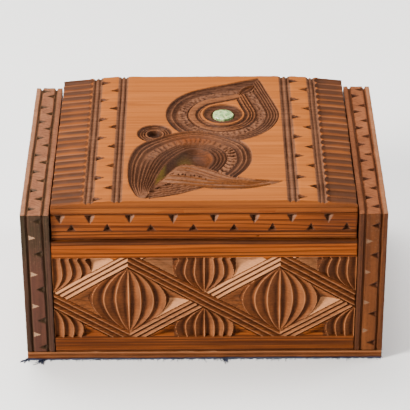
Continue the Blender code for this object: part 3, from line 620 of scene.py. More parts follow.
    def tear_size(self):
        """The size of the eye's teardrop that passes through each point, and the angle there."""
        dx, dy = self.x - self.EYE[0], self.y - self.EYE[1]
        angle = np.arctan2(dy, dx)
        sides = []
        for turn in (self.TIP_ANGLE + self.TIP_SPREAD, self.TIP_ANGLE - self.TIP_SPREAD):
            sides.append(dx * math.cos(turn) + dy * math.sin(turn))
        wedge = np.abs((angle - self.TIP_ANGLE + math.pi) % (2 * math.pi) - math.pi) < self.TIP_SPREAD
        return np.where(wedge, np.maximum(*sides), np.hypot(dx, dy)), angle, wedge, sides

    def eye_surround(self):
        """The ridged and nicked bands round the eye, in a teardrop."""
        size, angle, wedge, sides = self.tear_size()
        size = size + 0.25 * self.wander
        side = np.where(wedge, np.where(sides[0] > sides[1], 0.0, 1.0), 0.0)
        round_turn = (angle - self.TIP_ANGLE) % (2 * math.pi)
        round_turn = smooth_step(round_turn, math.radians(150), math.radians(250))
        side = np.where(wedge, side, round_turn)
        depth = blend(side, ridge_profile(size, self.TEAR_LEFT), ridge_profile(size, self.TEAR_RIGHT))
        band = smooth_step(size, 19.4, 20.0) * (1 - smooth_step(size, 24.0, 24.6))
        travel = np.where(wedge, np.hypot(self.x - self.EYE[0], self.y - self.EYE[1]), angle * 22)
        row = np.clip(1 - np.abs(size - 21.6) / 2.2, 0, 1)
        depth += band * (0.25 + row * self.notches(travel, 2.9, 1.0) + 0.25 * self.grain)
        tip = smooth_step(self.y, 108, 122) * smooth_step(size, 14, 20) * (1 - side)
        depth = depth * (1 - 0.45 * tip) + 0.5 * tip
        depth += 0.1 * self.grain * smooth_step(depth, 0.05, 0.4)
        outer = smooth_step(size, 18.0, 19.5)
        stain = 0.38 + 0.22 * outer + (0.62 - 0.22 * outer) * smooth_step(depth, 0.25, 0.9)
        stain = blend(band, stain, 0.56 + 0.44 * smooth_step(depth, 0.5, 1.5))
        inside = (size > self.TEAR_INNER) & (size < self.TEAR_OUTER)
        self.set_region(inside, depth, stain, 0.25 + 0.3 * outer)
        self.leaf()
        self.eye()

    def notches(self, travel, pitch, depth):
        """A row of small uneven nicks."""
        phase = (travel + 0.9 * self.wander + 0.25 * self.grain) / pitch % 1
        return depth * np.clip(1 - np.abs(phase - 0.35) / 0.33, 0, 1) * (0.75 + 0.35 * self.grain)

    def leaf(self):
        """The small leaf by the tip of the teardrop."""
        cos, sin = math.cos(self.LEAF_TURN), math.sin(self.LEAF_TURN)
        dx, dy = self.x - self.LEAF_PLACE[0], self.y - self.LEAF_PLACE[1]
        along = np.abs(dx * cos + dy * sin) / self.LEAF_HALF_LENGTH
        half = self.LEAF_HALF_WIDTH * (1 - np.clip(along, 0, 1) ** 2)
        edge = np.abs(dy * cos - dx * sin) / np.maximum(half, 0.05)
        marks = [(0, 0.5), (0.12, 0.7), (0.45, 1.9), (0.72, 1.6), (0.85, 0.1), (1.0, 0.4)]
        rim = smooth_step(edge, 0.72, 0.86)
        inside = (along < 1) & (edge < 1)
        self.set_region(inside, ridge_profile(edge, marks), 0.9 - 0.5 * rim, 0.6 * rim)

    def eye(self):
        """The sunk ring round the shell, and the seat under it."""
        distance = np.hypot(self.x - self.EYE_RING_PLACE[0], self.y - self.EYE_RING_PLACE[1])
        marks = [(0, 2.2), (6.2, 2.2), (6.8, 1.1), (9.4, 1.6), (10.5, 1.0), (self.EYE_RING_RADIUS, 0)]
        depth = ridge_profile(distance, marks)
        stain = 0.5 + 0.5 * smooth_step(depth, 0.3, 1.1)
        self.set_region(distance < self.EYE_RING_RADIUS, depth, stain, 0.2)

    def nose(self):
        """The small scroll in front of the eye."""
        distance = np.hypot(self.x - self.NOSE[0], self.y - self.NOSE[1])
        marks = [
            (0, 3.6), (3.2, 3.4), (4.3, 0.5), (4.8, 0.4), (5.5, 1.5), (6.1, 0.4), (6.9, 1.5),
            (7.5, 0.4), (8.3, 1.6), (9.1, 1.2), (self.NOSE_RADIUS, 0.0),
        ]
        rings = ridge_profile(distance, marks)
        stain = 0.5 + 0.5 * smooth_step(rings, 0.3, 1.0)
        self.set_region(distance < self.NOSE_RADIUS, rings, stain, 0.35)

    def head(self):
        """The ridged ring round the mouth."""
        outer, inner = curve_through(self.OUTER), curve_through(self.INNER)
        whole = inside_polygon(self.x, self.y, outer)
        self.set_region(whole, 1.3 + 0.2 * self.grain, 0.85, 0.2, calm=0.6)
        ring = np.concatenate([outer, inner[::-1]])
        inside = inside_polygon(self.x, self.y, ring)
        far, place = nearest_on_path(self.x, self.y, outer)
        near, _ = nearest_on_path(self.x, self.y, inner)
        share = far / np.maximum(far + near, 1e-6) + 0.006 * self.wander
        width = far + near
        upper = smooth_step(place, 38, 52)
        lines = [ridge_profile(share, marks) for marks in (self.RING_LOWER, self.RING_UPPER)]
        depth = blend(upper, *lines)
        depth *= np.clip(width / 14, 0.45, 1)
        band = smooth_step(share, 0.375, 0.4) * (1 - smooth_step(share, 0.61, 0.635))
        right = smooth_step(place, 118, 130)
        middle = np.clip(1.3 - np.abs(share - 0.5) / 0.13, 0, 1)
        fine = self.notches(place, 4.1, 0.7) * middle
        large = self.notches(place + 10 * np.abs(share - 0.5), 4.6, 2.4) * np.clip(1.6 * middle, 0, 1)
        scalloped = band * smooth_step(place, 40, 55)
        depth += scalloped * (fine * (1 - right) + (large - 0.4) * right) + 0.1 * self.grain
        stain = 0.5 + 0.5 * smooth_step(depth, 0.2, 0.7)
        stain = blend(scalloped, stain, 0.55 + 0.45 * smooth_step(depth, 0.4, 1.1))
        red = bell(self.x, -7, 16) * bell(self.y, 65, 8)
        self.set_region(inside, depth, stain - 0.25 * red, 0.5 * (1 - red), tone=red)
        self.mouth(inner)

    def mouth(self, inner):
        """The deep hollow of the mouth, with residue low in it."""
        hollow = np.concatenate([inner[4:], curve_through(self.MOUTH_FLOOR)])
        rim = self.distance_inside(hollow)
        bowl = 0.6 + 4.2 * (1 - np.exp(-rim / 2.8)) + 0.12 * self.grain
        inside = inside_polygon(self.x, self.y, hollow)
        # Painted shade: the hollow is darker towards its left side.
        dirt_and_shading = 0.95 - 0.3 * smooth_step(self.x, -14, 0) + 0.2 * self.wander
        moss = 0.7 * smooth_step(self.x, -26, -24) * (1 - smooth_step(self.x, -23, -19))
        faint = 0.3 * bell(self.x, -10, 3.5) * bell(self.y, 43, 5)
        moss = np.maximum(moss, faint)
        self.set_region(inside, bowl, np.clip(dirt_and_shading, 0, 1), 0.1, tone=0.9, calm=0.3, moss=moss)

    def distance_inside(self, outline):
        distance, _ = nearest_on_path(self.x, self.y, np.concatenate([outline, outline[:1]]))
        return distance

    def tongue_and_jaw(self):
        """The long tongue over the furrowed lower jaw."""
        tongue, jaw = np.array(self.TONGUE, float), np.array(self.JAW, float)
        rim = self.distance_inside(tongue)
        inside = inside_polygon(self.x, self.y, tongue)
        body = 0.9 - 0.6 * smooth_step(rim, 0, 2.5) + 0.06 * self.grain
        stain = 0.66 + 0.15 * self.wander + 0.15 * self.grain
        self.set_region(inside, body, stain, 0.5, calm=0.7)
        rim = self.distance_inside(jaw)
        across = self.y * 0.94 - self.x * 0.34 + 0.5 * self.wander
        furrows = 0.5 + 0.5 * np.sin(across * 3.1)
        rough = 0.5 + 0.95 * furrows + 0.3 * self.grain
        inside = inside_polygon(self.x, self.y, jaw)
        self.set_region(inside, rough * smooth_step(rim, 0, 0.7), 0.66 + 0.34 * furrows, 0.4)
        self.tongue_cuts()

    def tongue_cuts(self):
        """Long grooves along the tongue, and a row of pits on it."""
        offset = np.array((0, FIGURE_Y))
        for points, width, depth in self.TONGUE_CUTS:
            path = curve_through(points) + offset
            fade = np.sin(np.linspace(0.12, math.pi - 0.12, len(path))) ** 0.5
            self.relief.groove(path, 0.9 * width * fade + 0.35, depth * fade + 1.0, 1.0)
        pits = curve_through(self.TONGUE_PITS) + offset
        for i, point in enumerate(pits):
            change = jitter(4, 1, 640 + i)
            point = point + 0.7 * change[:2]
            size = 0.8 + 0.35 * change[2]
            corners = [
                point + np.array((-1.5, -0.9)) * size, point + np.array((0.8, -1.3)) * size,
                point + np.array((0.2 + 0.4 * change[3], 1.5)) * size,
            ]
            self.relief.pocket(corners, point, 2.0 * size, 0.95)

    def carve(self):
        self.eye_surround()
        self.nose()
        self.head()
        self.tongue_and_jaw()


# The lid


def camber(x):
    """How far the lid's top curves down at x."""
    beyond = np.clip(np.abs(x) - CAMBER_START, 0, None) / (LID_HALF - CAMBER_START)
    return CAMBER_DROP * beyond**CAMBER_POWER


def carve_flutes(relief, start, end):
    """Hollows side by side along the depth of the lid, open at start in x and rounded at end."""
    edges = np.linspace(LID_FRONT, LID_BACK, FLUTE_COUNT + 1)
    edges[1:-1] += jitter(FLUTE_COUNT - 1, 0.45, int(end + 200))
    low, high = sorted((start, end))
    where, x, y = relief.window(low, high, LID_FRONT - 1, LID_BACK + 1)
    number = np.clip(np.searchsorted(edges, y) - 1, 0, FLUTE_COUNT - 1)
    middle = (edges[number] + edges[number + 1]) / 2
    half = (edges[number + 1] - edges[number]) / 2
    q = (y - middle) / half
    from_end = np.clip(1 - np.abs(x - end) / FLUTE_ROUNDING, 0, 1)
    round_section = np.sqrt(np.clip(1 - 0.96 * q * q - from_end**2, 0, 1))
    us, vs = relief.us[where[0]], relief.vs[where[1]]
    deep = (FLUTE_DEPTH + jitter(FLUTE_COUNT, 0.25, 8)[number]) * round_section
    deep = deep - 0.15 + 0.02 * noise_grid(us, vs, 12, 2.2, 9)
    patchy = noise_grid(us, vs, 9, 7, 10)
    # Painted shade on each flute's far wall and a painted highlight on its crests; the flutes are also
    # darker towards the front and back, at their rounded inner ends and on the right.
    crest = smooth_step(np.abs(q), 0.84, 0.95)
    far_and_near = 0.25 * smooth_step(np.abs(y - 8), 30, 62)
    dirt_and_shading = 0.3 + 0.15 * patchy + 0.7 * smooth_step(q, -0.15, 0.7) + far_and_near + 0.4 * from_end
    dirt_and_shading = (dirt_and_shading + 0.15 * (start > 0)) * (1 - 0.5 * crest)
    relief.cut(where, deep, np.clip(dirt_and_shading, 0, 1), 0.5 * crest)
    relief.tone[where] = 0.55
    relief.calm[where] = 0.85


def carve_lid_top(relief):
    """The flutes, grooves and chipped bands on each side of the figure, and the figure."""
    relief.depth += camber(relief.us)[:, None]
    plain = relief.depth.copy()
    relief.depth[:] = 0
    for side, end in zip((-1, 1), FLUTE_ENDS):
        carve_flutes(relief, side * (LID_HALF + 1), end)
    for x, width in LID_GROOVES:
        wander = jitter(9, 0.12, int(x * 10 + 1000))
        straight_groove(relief, x, wander, LID_FRONT, LID_BACK, True, width, 1.35, 1.0)
    for low, high in LID_DIRTY_STRIPS:
        where, _, _ = relief.window(low, high, LID_FRONT - 1, LID_BACK + 1)
        relief.depth[where] = np.maximum(relief.depth[where], 0.3)
        relief.stain[where] = np.maximum(relief.stain[where], 0.68)
        relief.raw[where] = 0.65
    for number, band in enumerate(LID_BANDS):
        for x, (toward, count, first, gap, place_seed, chip_seed) in zip(band, BAND_CHIPS):
            for i in range(count):
                change = jitter(1, 0.8, place_seed + i + 50 * number)[0]
                y = FIGURE_Y + first - gap * i + change
                relief.chip((x, y), (toward, 0), 5.4, 5.2, 2.4, chip_seed + i + 20 * number)
    Figure(relief).carve()
    fine = noise_grid(relief.us, relief.vs, 14, 1.6, 11)
    relief.depth += plain + 0.025 * (fine + 1)


def carve_lid_edge(relief, chips):
    """The notched band along the lid's front or back edge."""
    top, foot = 90.4, 79.9
    for z, width, depth in ((top, 1.9, 1.0), (foot, 1.6, 0.8), (top + 3.9, 0.9, 0.35)):
        wander = jitter(11, 0.12, int(z * 7))
        straight_groove(relief, z, wander, -LID_HALF, LID_HALF, False, width, depth, 0.6)
    relief.tone[:] = 1.0
    ends = smooth_step(-relief.us, 58, 72) + smooth_step(relief.us, 50, 66)
    relief.stain += 0.3 * ends[:, None] * (relief.stain == 0)
    # Painted shade along the bottom edge, where the lid sits over the panels.
    relief.stain[:, relief.vs < LID_BOTTOM + 0.9] = 0.7
    relief.tone[:, relief.vs > top + 1.0] = 0.55
    if not chips:
        return
    upper = (-74.5, -59, -38.5, -16, 5.3, 26.2, 45.3, 64.2)
    lower = (-68.7, -50, -27.3, -5.5, 15.5, 35.3, 55.2, 73.8)
    # The chips are dark with dirt and painted shade, and the wall of each chip that faces left is
    # painted paler as painted light, more on the upper row.
    for i, (a, b) in enumerate(zip(upper, lower)):
        relief.chip((a, top - 0.6), (0, -1), 5.2, 5.8, 2.5, 500 + i, 0.9, 0.3, 0.5)
        relief.chip((b, foot + 0.5), (0, 1), 4.9, 5.4, 2.5, 520 + i, 1.0, 0.0, 0.2)
    relief.pocket([(26.6, 77.4), (29.4, 77.6), (28.8, 76.3)], (28.2, 77), 0.9, 0.1)


def build_lid(material):
    xs = axis_places(-LID_HALF, LID_HALF, COARSE, (-42, 43.4, FINE))
    ys = axis_places(LID_FRONT, LID_BACK, FINE)
    zs = axis_places(LID_BOTTOM, LID_TOP - 0.01, COARSE)
    lid = Board("lid_carving", (xs, ys, zs), 0.16, 3, camber, FLUTE_START)
    carve_lid_top(lid.face(2, 1))
    carve_lid_edge(lid.face(1, -1), True)
    carve_lid_edge(lid.face(1, 1), False)
    obj = lid.build(material, "lid_wood")
    add_tongue(obj)
    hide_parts("lid")


def add_tongue(lid):
    """The raised middle of the lid's underside, which drops in between the panels."""
    build = bmesh.new()
    build.from_mesh(lid.data)
    made = bmesh.ops.create_cube(build, size=1)["verts"]
    inset = HALF_DEPTH - TONGUE_INSET
    size = Vector((2 * (LID_HALF - 0.1), 2 * inset, TONGUE + 0.5)) * MM
    bmesh.ops.scale(build, vec=size, verts=made)
    bmesh.ops.translate(build, vec=(0, 0, (LID_BOTTOM - TONGUE / 2 + 0.25) * MM), verts=made)
    build.to_mesh(lid.data)
    build.free()
    lid.data.set_sharp_from_angle(angle=math.radians(55))


# The lattice


class Lattice:
    """The row of diamonds on a panel: ridged bands, petals and chip pockets."""

    # Widths of one strip in the bands that rise and fall to the right
    RISING_PITCH = 2.65
    FALLING_PITCH = 2.95
    # How far each band lies above the line between its nodes, measured across the band
    SHIFT = -1.25
    # Depth across one strip, from its lower edge, and across one petal, from its inner ridge
    STRIP = [(0, 1.2), (0.1, 1.1), (0.3, 0.15), (0.4, 0.03), (0.86, 0.7), (1, 1.2)]
    PETAL = [(0, 0), (0.05, 0.15), (0.15, 0.9), (0.25, 1), (0.6, 0.6), (0.92, 0.1), (1, 0)]

    def __init__(self, relief, half_width, low, high, ridges):
        self.relief = relief
        self.half_width = half_width
        self.low, self.high = low, high
        self.wide = half_width / 2
        self.tall = (high - low) / 2
        self.ridges = ridges
        length = math.hypot(self.wide, self.tall)
        self.falling = np.array((self.wide, -self.tall)) / length
        self.rising = np.array((self.wide, self.tall)) / length
        self.inner = 1 - ridges * self.RISING_PITCH / 2 / (self.wide * self.tall / length)
        self.drop = self.SHIFT / self.rising[0] * (ridges > 1)
        self.where, self.u, self.v = relief.window(-half_width - 1, half_width + 1, low, high)
        us, vs = relief.us[self.where[0]], relief.vs[self.where[1]]
        self.wander = noise_grid(us, vs, 12, 12, 21)
        self.tool = noise_grid(us, vs, 1.6, 5.5, 22)

    def band(self, through, along, pitch, keep, raw):
        """Strips side by side. Each has a gentle face turned upwards and a steep wall below it."""
        across = np.array((-along[1], along[0]))
        off = (self.u - through[0]) * across[0] + (self.v - through[1] - self.drop) * across[1]
        off = off + 0.12 * self.wander
        half = self.ridges * pitch / 2
        inside = (np.abs(off) < half) & keep
        q = np.clip((off + half) / pitch, 0, self.ridges - 1e-6) % 1
        depth = ridge_profile(q, self.STRIP) + 0.03 * self.tool
        # Painted shade on the steep wall and a painted highlight along the crest; the paleness passed
        # in lightens the whole strip as painted light.
        dirt_and_shading = 1 - smooth_step(q, 0.12, 0.44) + 0.85 * smooth_step(q, 0.74, 0.95)
        crest = bell(q, 0.38, 0.08)
        dirt_and_shading = np.clip(dirt_and_shading + 0.85 * (1 - raw), 0, 1) * (1 - 0.75 * crest)
        pale_wood = np.clip(raw * (1 - 0.7 * dirt_and_shading) + 0.6 * crest, 0, 1)
        self.relief.set_region(self.where, inside, depth, dirt_and_shading, pale_wood)

    def bands(self):
        everywhere = np.ones(self.u.shape, bool)
        starts = [-self.half_width + self.wide * (2 * column + 1) for column in (-1, 0, 1, 2)]
        # Painted light: the bands that rise to the right are painted pale, paler towards the top of the
        # field, and the falling bands are painted dark as shaded.
        pale = 0.62 + 0.38 * smooth_step(self.v, self.low + self.tall - 6, self.low + self.tall + 6)
        for x in starts:
            self.band((x, self.low), self.rising, self.RISING_PITCH, everywhere, pale)
        for x in starts:
            between_nodes = (self.u > x) & (self.u < x + 2 * self.wide)
            self.band((x, self.high), self.falling, self.FALLING_PITCH, between_nodes, 0.22)

    def centres(self):
        """Centre of each whole, upper and lower diamond, and how many petals it has a side."""
        middle = (self.low + self.high) / 2
        for column in (0, 1):
            yield -self.half_width + self.wide * (2 * column + 1), middle, 0, 3
        for column in (0, 1, 2):
            x = -self.half_width + self.wide * 2 * column
            yield x, self.high, -1, 4 if column != 1 else 3
            yield x, self.low, 1, 3

    def diamond(self, x0, y0, half, pitch, count, full):
        """One diamond: petals in its middle and a pocket beyond them on each side.

        half is 1 or -1 where only its upper or lower half is on the panel, and 0 otherwise.
        """
        du, dv = self.u - x0, self.v - y0
        diamond = np.abs(du) / self.wide + np.abs(dv) / self.tall
        pole = self.tall * (self.inner - 0.03)
        widest = 0.3 * self.tall if half else 0.0
        past = np.clip((np.abs(dv) - widest) / (pole - widest), 0, 1)
        bow = (1 - past**2) ** 0.8
        if half:
            bow *= 1 - 0.14 * np.clip(1 - np.abs(dv) / widest, 0, 1) ** 2
        if not full:
            bow = np.ones_like(bow)
        ring = np.abs(du) / np.maximum(pitch * bow, 0.05) + 0.05 * self.wander * full
        ring = np.clip(ring, 0, None)
        inside = diamond < self.inner + 0.012
        petals = inside & (ring < count) & (bow > 0.02)
        if full:
            self.petals(petals, ring, count, bow, du)
        beyond = np.abs(du) - count * pitch * bow
        margin = (self.inner - diamond) * self.wide * self.rising[1]
        self.pocket(inside & ~petals, beyond, margin, du, dv, half)

    def petals(self, inside, ring, count, bow, du):
        """Scoops between meridians. Each has a steep wall at its inner ridge, then rises gently."""
        q = ring - np.clip(ring.astype(int), 0, count - 1)
        edge = ridge_profile(q, self.PETAL)
        depth = 0.06 + 1.8 * edge * np.clip(bow * 1.15, 0.1, 1) + 0.05 * self.tool
        # Painted light from the left: the petals' right half is paler, their left half darker, and
        # their crests carry a painted highlight.
        right = smooth_step(du, -2.0, 2.0)
        crest = np.maximum(1 - smooth_step(q, 0.0, 0.07), smooth_step(q, 0.93, 1.0))
        dirt_and_shading = 0.62 + 0.36 * smooth_step(edge, 0.4, 1.0) * (1 - 0.4 * smooth_step(q, 0.3, 0.8))
        dirt_and_shading = (dirt_and_shading + 0.1 * (1 - right)) * (1 - 0.8 * crest) + 0.1 * self.wander + 0.1 * self.tool
        raw = 0.25 + 0.65 * crest + 0.15 * right * smooth_step(q, 0.45, 0.8)
        depth = np.maximum(depth, LEAST_CUT)
        self.relief.set_region(self.where, inside, depth, np.clip(dirt_and_shading, 0, 1), raw, calm=0.6)

    def pocket(self, inside, beyond, margin, du, dv, half):
        """A steep wall beside the petals and two facets that rise to the bands."""
        border = np.minimum(self.v - self.low, self.high - self.v)
        wall, facet, rim = 1.7 * beyond, 0.62 * margin, 1.4 * border
        depth = np.clip(np.minimum(np.minimum(wall, facet), rim), LEAST_CUT, 2.4)
        on_wall = wall < facet
        # Painted light: the facets lit from the left are painted as pale bare wood and the steep wall
        # beside the petals dark as shade; the other facets are painted paler in the half diamonds at
        # the top than elsewhere.
        lower = (dv < 0) | (half < 0)
        lit = (du > 0) & lower & (half <= 0)
        raw = np.where(lit, 1.0, np.where(half < 0, 0.7, np.where(half > 0, 0.06, 0.3)))
        raw = np.where(on_wall, 0.2, raw)
        dirt_and_shading = np.where(on_wall, 0.95, np.where(lit, 0.05, np.where(half > 0, 0.3, 0.42)))
        self.relief.set_region(self.where, inside, depth, dirt_and_shading, raw)

    def carve(self, full):
        for x, y, half, count in self.centres():
            pitch = 5.1 if half else 6.5
            if full or not half:
                self.diamond(x, y + self.drop, half, pitch, count, full)
        self.bands()


def build_panel(name, node, side, full, material):
    """The front or back panel. full gives the lattice its petals and three strips a band."""
    near, far = PANEL_FACE - PANEL_THICKNESS, PANEL_FACE
    low_y, high_y = (-far, -near) if side < 0 else (near, far)
    pitch = FINE * (1.0 if full else 1.6)
    xs = axis_places(-PANEL_HALF, PANEL_HALF, pitch)
    ys = axis_places(low_y, high_y, 3.0)
    zs = axis_places(WALL_BOTTOM, PANEL_TOP, pitch)
    panel = Board(name, (xs, ys, zs), 0.14, 11 + side)
    relief = panel.face(1, side)
    Lattice(relief, PANEL_HALF, FIELD[0], FIELD[1], 3 if full else 1).carve(full)
    relief.stain[:, relief.vs < FIELD[0]] = 0.62
    shadow = smooth_step(relief.vs, PANEL_TOP - 2.6, PANEL_TOP - 1.4)
    relief.stain = np.maximum(relief.stain, 0.95 * shadow[None, :])
    relief.depth += 0.03 * (noise_grid(relief.us, relief.vs, 30, 1.3, 23) + 1)
    obj = panel.build(material, "panel_wood", 1.0 if full else 0.35)
    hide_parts(node)


# End boards and base


def carve_strip_face(relief, side, low, high, outer_row, inner_row, depth, seed, pale=False):
    """Two grooves along an end board's edge and chips that point at each other between them."""
    for x, width in ((83.4, 1.9), (91.7, 1.8)):
        wander = jitter(12, 0.14, seed + int(x))
        straight_groove(relief, side * x, wander, low, high, True, width, 1.25, 0.8)
    worn = (0.3, 0.8, 0.0) if side < 0 else (0.6, 0.6, 0.0)
    # The dark chips are painted with dirt and painted shade; the worn ones are pale bare wood.
    dirty_and_shaded = (0.85, 0.0, 0.0)
    outer_finish = worn if pale and side < 0 else dirty_and_shaded
    inner_finish = worn if pale and side > 0 else dirty_and_shaded
    rows = ((outer_row, 91.0, -side, outer_finish, 20), (inner_row, 84.1, side, inner_finish, 60))
    for places, x, toward, finish, first in rows:
        pale_wood = finish == worn
        deep = depth * (0.3 if pale_wood else 1)
        length, width = (4.3 if side < 0 else 3.4, 3.3) if pale_wood else (5.0, 4.6)
        for i, v in enumerate(places):
            relief.chip((side * x, v), (toward, 0), length, width, deep, seed + first + i, *finish)


def stain_end_front(front, side, seed):
    """Dark wear high on an end board's front and along its edges, with pale specks."""
    rows = noise_grid(front.us, front.vs, 0.8, 0.8, seed + 2)
    inner_strip = 1 - smooth_step(side * front.us, 82.4, 83.6)[:, None]
    high = smooth_step(front.vs, 50, 82)[None, :]
    edge_strip = smooth_step(side * front.us, 90.5, 92.5)[:, None]
    front.stain = np.maximum(front.stain, (0.15 + 0.6 * (side < 0)) * high + 0.35 * edge_strip)
    front.stain = np.maximum(front.stain, (0.3 + 0.35 * (side > 0)) * inner_strip)
    front.stain += 0.3 * rows * (rows > 0) * (1 - front.raw)
    specks = smooth_step(noise_grid(front.us, front.vs, 0.45, 0.45, seed + 3), 0.55, 0.8)
    front.raw = np.maximum(front.raw, (0.3 if side < 0 else 0.12) * specks * high)


def build_end(name, node, side, material):
    low_x, high_x = sorted((side * INNER_X, side * HALF_WIDTH))
    pitch = FINE * 1.15
    xs = axis_places(low_x, high_x, pitch)
    ys = axis_places(-HALF_DEPTH, HALF_DEPTH, pitch)
    zs = axis_places(WALL_BOTTOM, END_TOP, pitch)
    board = Board(name, (xs, ys, zs), 0.12, 31 + side)
    seed = 700 + side * 100
    outer = -HALF_DEPTH + 135.9 - 18.4 * np.arange(8) + jitter(8, 1.0, seed)
    inner = -HALF_DEPTH + 128.7 - 18.7 * np.arange(7) + jitter(7, 1.0, seed + 1)
    carve_strip_face(board.face(2, 1), side, -HALF_DEPTH, HALF_DEPTH, outer, inner, 2.4, seed)
    for sign in (-1, 1):
        board.face(1, sign).tone[:] = 1.0
    stain_end_front(board.face(1, -1), side, seed)
    top = board.face(2, 1)
    top.raw += 0.12 * smooth_step(side * top.us, 92.3, 93.0)[:, None]
    outer = np.array(END_OUTER_CHIPS[side]) + END_CHIP_FOOT
    inner = np.array(END_INNER_CHIPS[side]) + END_CHIP_FOOT
    carve_strip_face(board.face(1, -1), side, WALL_BOTTOM, END_TOP, outer, inner, 1.4, seed + 5, True)
    carve_strip_face(board.face(1, 1), side, WALL_BOTTOM, END_TOP, outer, inner, 2.3, seed + 9)
    outside = board.face(0, side)
    Lattice(outside, HALF_DEPTH - 13.0, 18.7, 78.5, 1).carve(False)
    for key, relief in board.reliefs.items():
        relief.depth += 0.04 * (noise_grid(relief.us, relief.vs, 2.0, 2.0, seed + key[0]) + 1)
    obj = board.build(material, "end_wood", 0.8)
    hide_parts(node)


def build_base(material):
    xs = axis_places(-HALF_WIDTH, HALF_WIDTH, 0.8)
    ys = axis_places(-HALF_DEPTH, HALF_DEPTH, 0.8)
    zs = axis_places(1.2, BASE_TOP, 0.3)
    board = Board("base_edge", (xs, ys, zs), 0.14, 51)
    for axis, sign in ((1, -1), (1, 1), (0, -1), (0, 1)):
        relief = board.face(axis, sign)
        straight_groove(relief, 3.3, np.zeros(2), relief.us[0], relief.us[-1], False, 0.9, 0.6, 0.9)
        relief.depth += 0.06 * (noise_grid(relief.us, relief.vs, 5, 1.2, 53 + axis) + 1)
        below = 1 - smooth_step(relief.vs, 2.6, 3.6)
        relief.stain = np.maximum(relief.stain, 0.68 + 0.25 * below[None, :])
        edges = bell(relief.vs, 5.0, 0.35) + 0.6 * bell(relief.vs, 2.4, 0.35)
        relief.raw += 0.25 + 0.6 * edges[None, :]
        relief.stain *= 1 - 0.5 * edges[None, :]
    obj = board.build(material, "panel_wood", 0.4)
    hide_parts("base_board")


# Felt and shell


def build_felt(material):
    """The felt under the base: a soft-edged sheet with loose fibres along its rim."""
    half_x, half_y = HALF_WIDTH - FELT_INSET, HALF_DEPTH - FELT_INSET
    xs, ys = np.linspace(-half_x, half_x, 160), np.linspace(-half_y, half_y, 120)
    build = bmesh.new()
    rim = [(x, -half_y) for x in xs] + [(half_x, y) for y in ys[1:]]
    rim += [(x, half_y) for x in xs[::-1][1:]] + [(-half_x, y) for y in ys[::-1][1:-1]]
    ragged = jitter(len(rim), 0.35, 61)
    rings = []
    for z, inset in ((0.0, 0.1), (0.3, 0.0), (0.75, 0.0), (FELT_TOP, 0.1)):
        ring = []
        for (x, y), rough in zip(rim, ragged):
            grow = 1 + (rough - inset) / half_x
            ring.append(build.verts.new((x * grow * MM, y * grow * MM, z * MM)))
        rings.append(ring)
    skin(build, rings)
    felt = add_object("felt_sheet", build)
    finish_piece(felt, material, 70)
    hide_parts("felt_pad")
    fuzz = build_fuzz(material, rim)


def build_fuzz(material, rim):
    """Loose fibres round the rim, thicker in tufts at three places on the front edge."""
    random = np.random.default_rng(62)
    build = bmesh.new()
    starts = [(*rim[i], random.uniform(0.5, 1.1)) for i in random.integers(0, len(rim), FELT_FIBRES)]
    for x, y, count, length in FELT_TUFTS:
        for _ in range(count):
            starts.append((x + random.normal(0, 0.5), y, length * random.uniform(0.4, 1.1)))
    for x, y, length in starts:
        out = np.array((x / HALF_WIDTH, y / HALF_DEPTH)) ** 5
        out = out / max(np.linalg.norm(out), 1e-6)
        bend = random.normal(0, 0.8 if length < 1.2 else 0.3, 2)
        points = []
        for step in range(5):
            t = step / 4
            place = np.array((x, y)) * 0.996 + (out * t + bend * t * t) * length
            place = np.clip(place, (-HALF_WIDTH - 4, -HALF_DEPTH - 4), (HALF_WIDTH + 1, HALF_DEPTH + 1))
            points.append(Vector((*place, max(0.12, 0.5 + random.normal(0, 0.1) - 0.35 * t))) * MM)
        add_fibre(build, points, (0.11 if length < 1.2 else 0.17) * MM)
    fuzz = add_object("felt_fibres", build)
    finish_piece(fuzz, material, 80)
    return fuzz


def add_fibre(build, points, radius):
    rings = []
    for point, after in zip(points, [*points[1:], points[-1] * 2 - points[-2]]):
        along = (after - point).normalized()
        side = along.orthogonal().normalized()
        other = along.cross(side)
        ring = []
        for i in range(3):
            a = 2 * math.pi * i / 3
            ring.append(build.verts.new(point + (side * math.cos(a) + other * math.sin(a)) * radius))
        rings.append(ring)
    skin(build, rings)


def build_shell(material):
    """The shell disc: a hand-ground outline, a slightly uneven top and a rounded rim."""
    centre = np.array(SHELL_PLACE)
    turns = np.arange(SHELL_SIDES) * 2 * math.pi / SHELL_SIDES
    uneven = 0.12 * np.cos(5 * turns + 0.6) + 0.1 * np.cos(3 * turns) + 0.05 * np.cos(7 * turns)
    radius = SHELL_RADIUS + uneven
    build = bmesh.new()
    rings = []
    profile = (
        (1.0, -1.9), (1.0, -0.35), (0.985, -0.12), (0.95, 0.0), (0.8, 0.05), (0.55, 0.08), (0.28, 0.1),
    )
    for share, z in profile:
        ring = []
        for turn, r in zip(turns, radius):
            x, y = centre + np.array((math.cos(turn), math.sin(turn))) * r * share
            swell = 0.05 * math.sin(0.9 * (x - centre[0])) * math.cos(0.7 * (y - centre[1]) + 0.5)
            high = SHELL_TOP + z + (swell if z > -0.2 else 0)
            ring.append(build.verts.new(Vector((x, y, high)) * MM))
        rings.append(ring)
    skin(build, rings)
    shell = add_object("shell_disc", build)
    finish_piece(shell, material, 60)
    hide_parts("shell_inlay")


# Materials


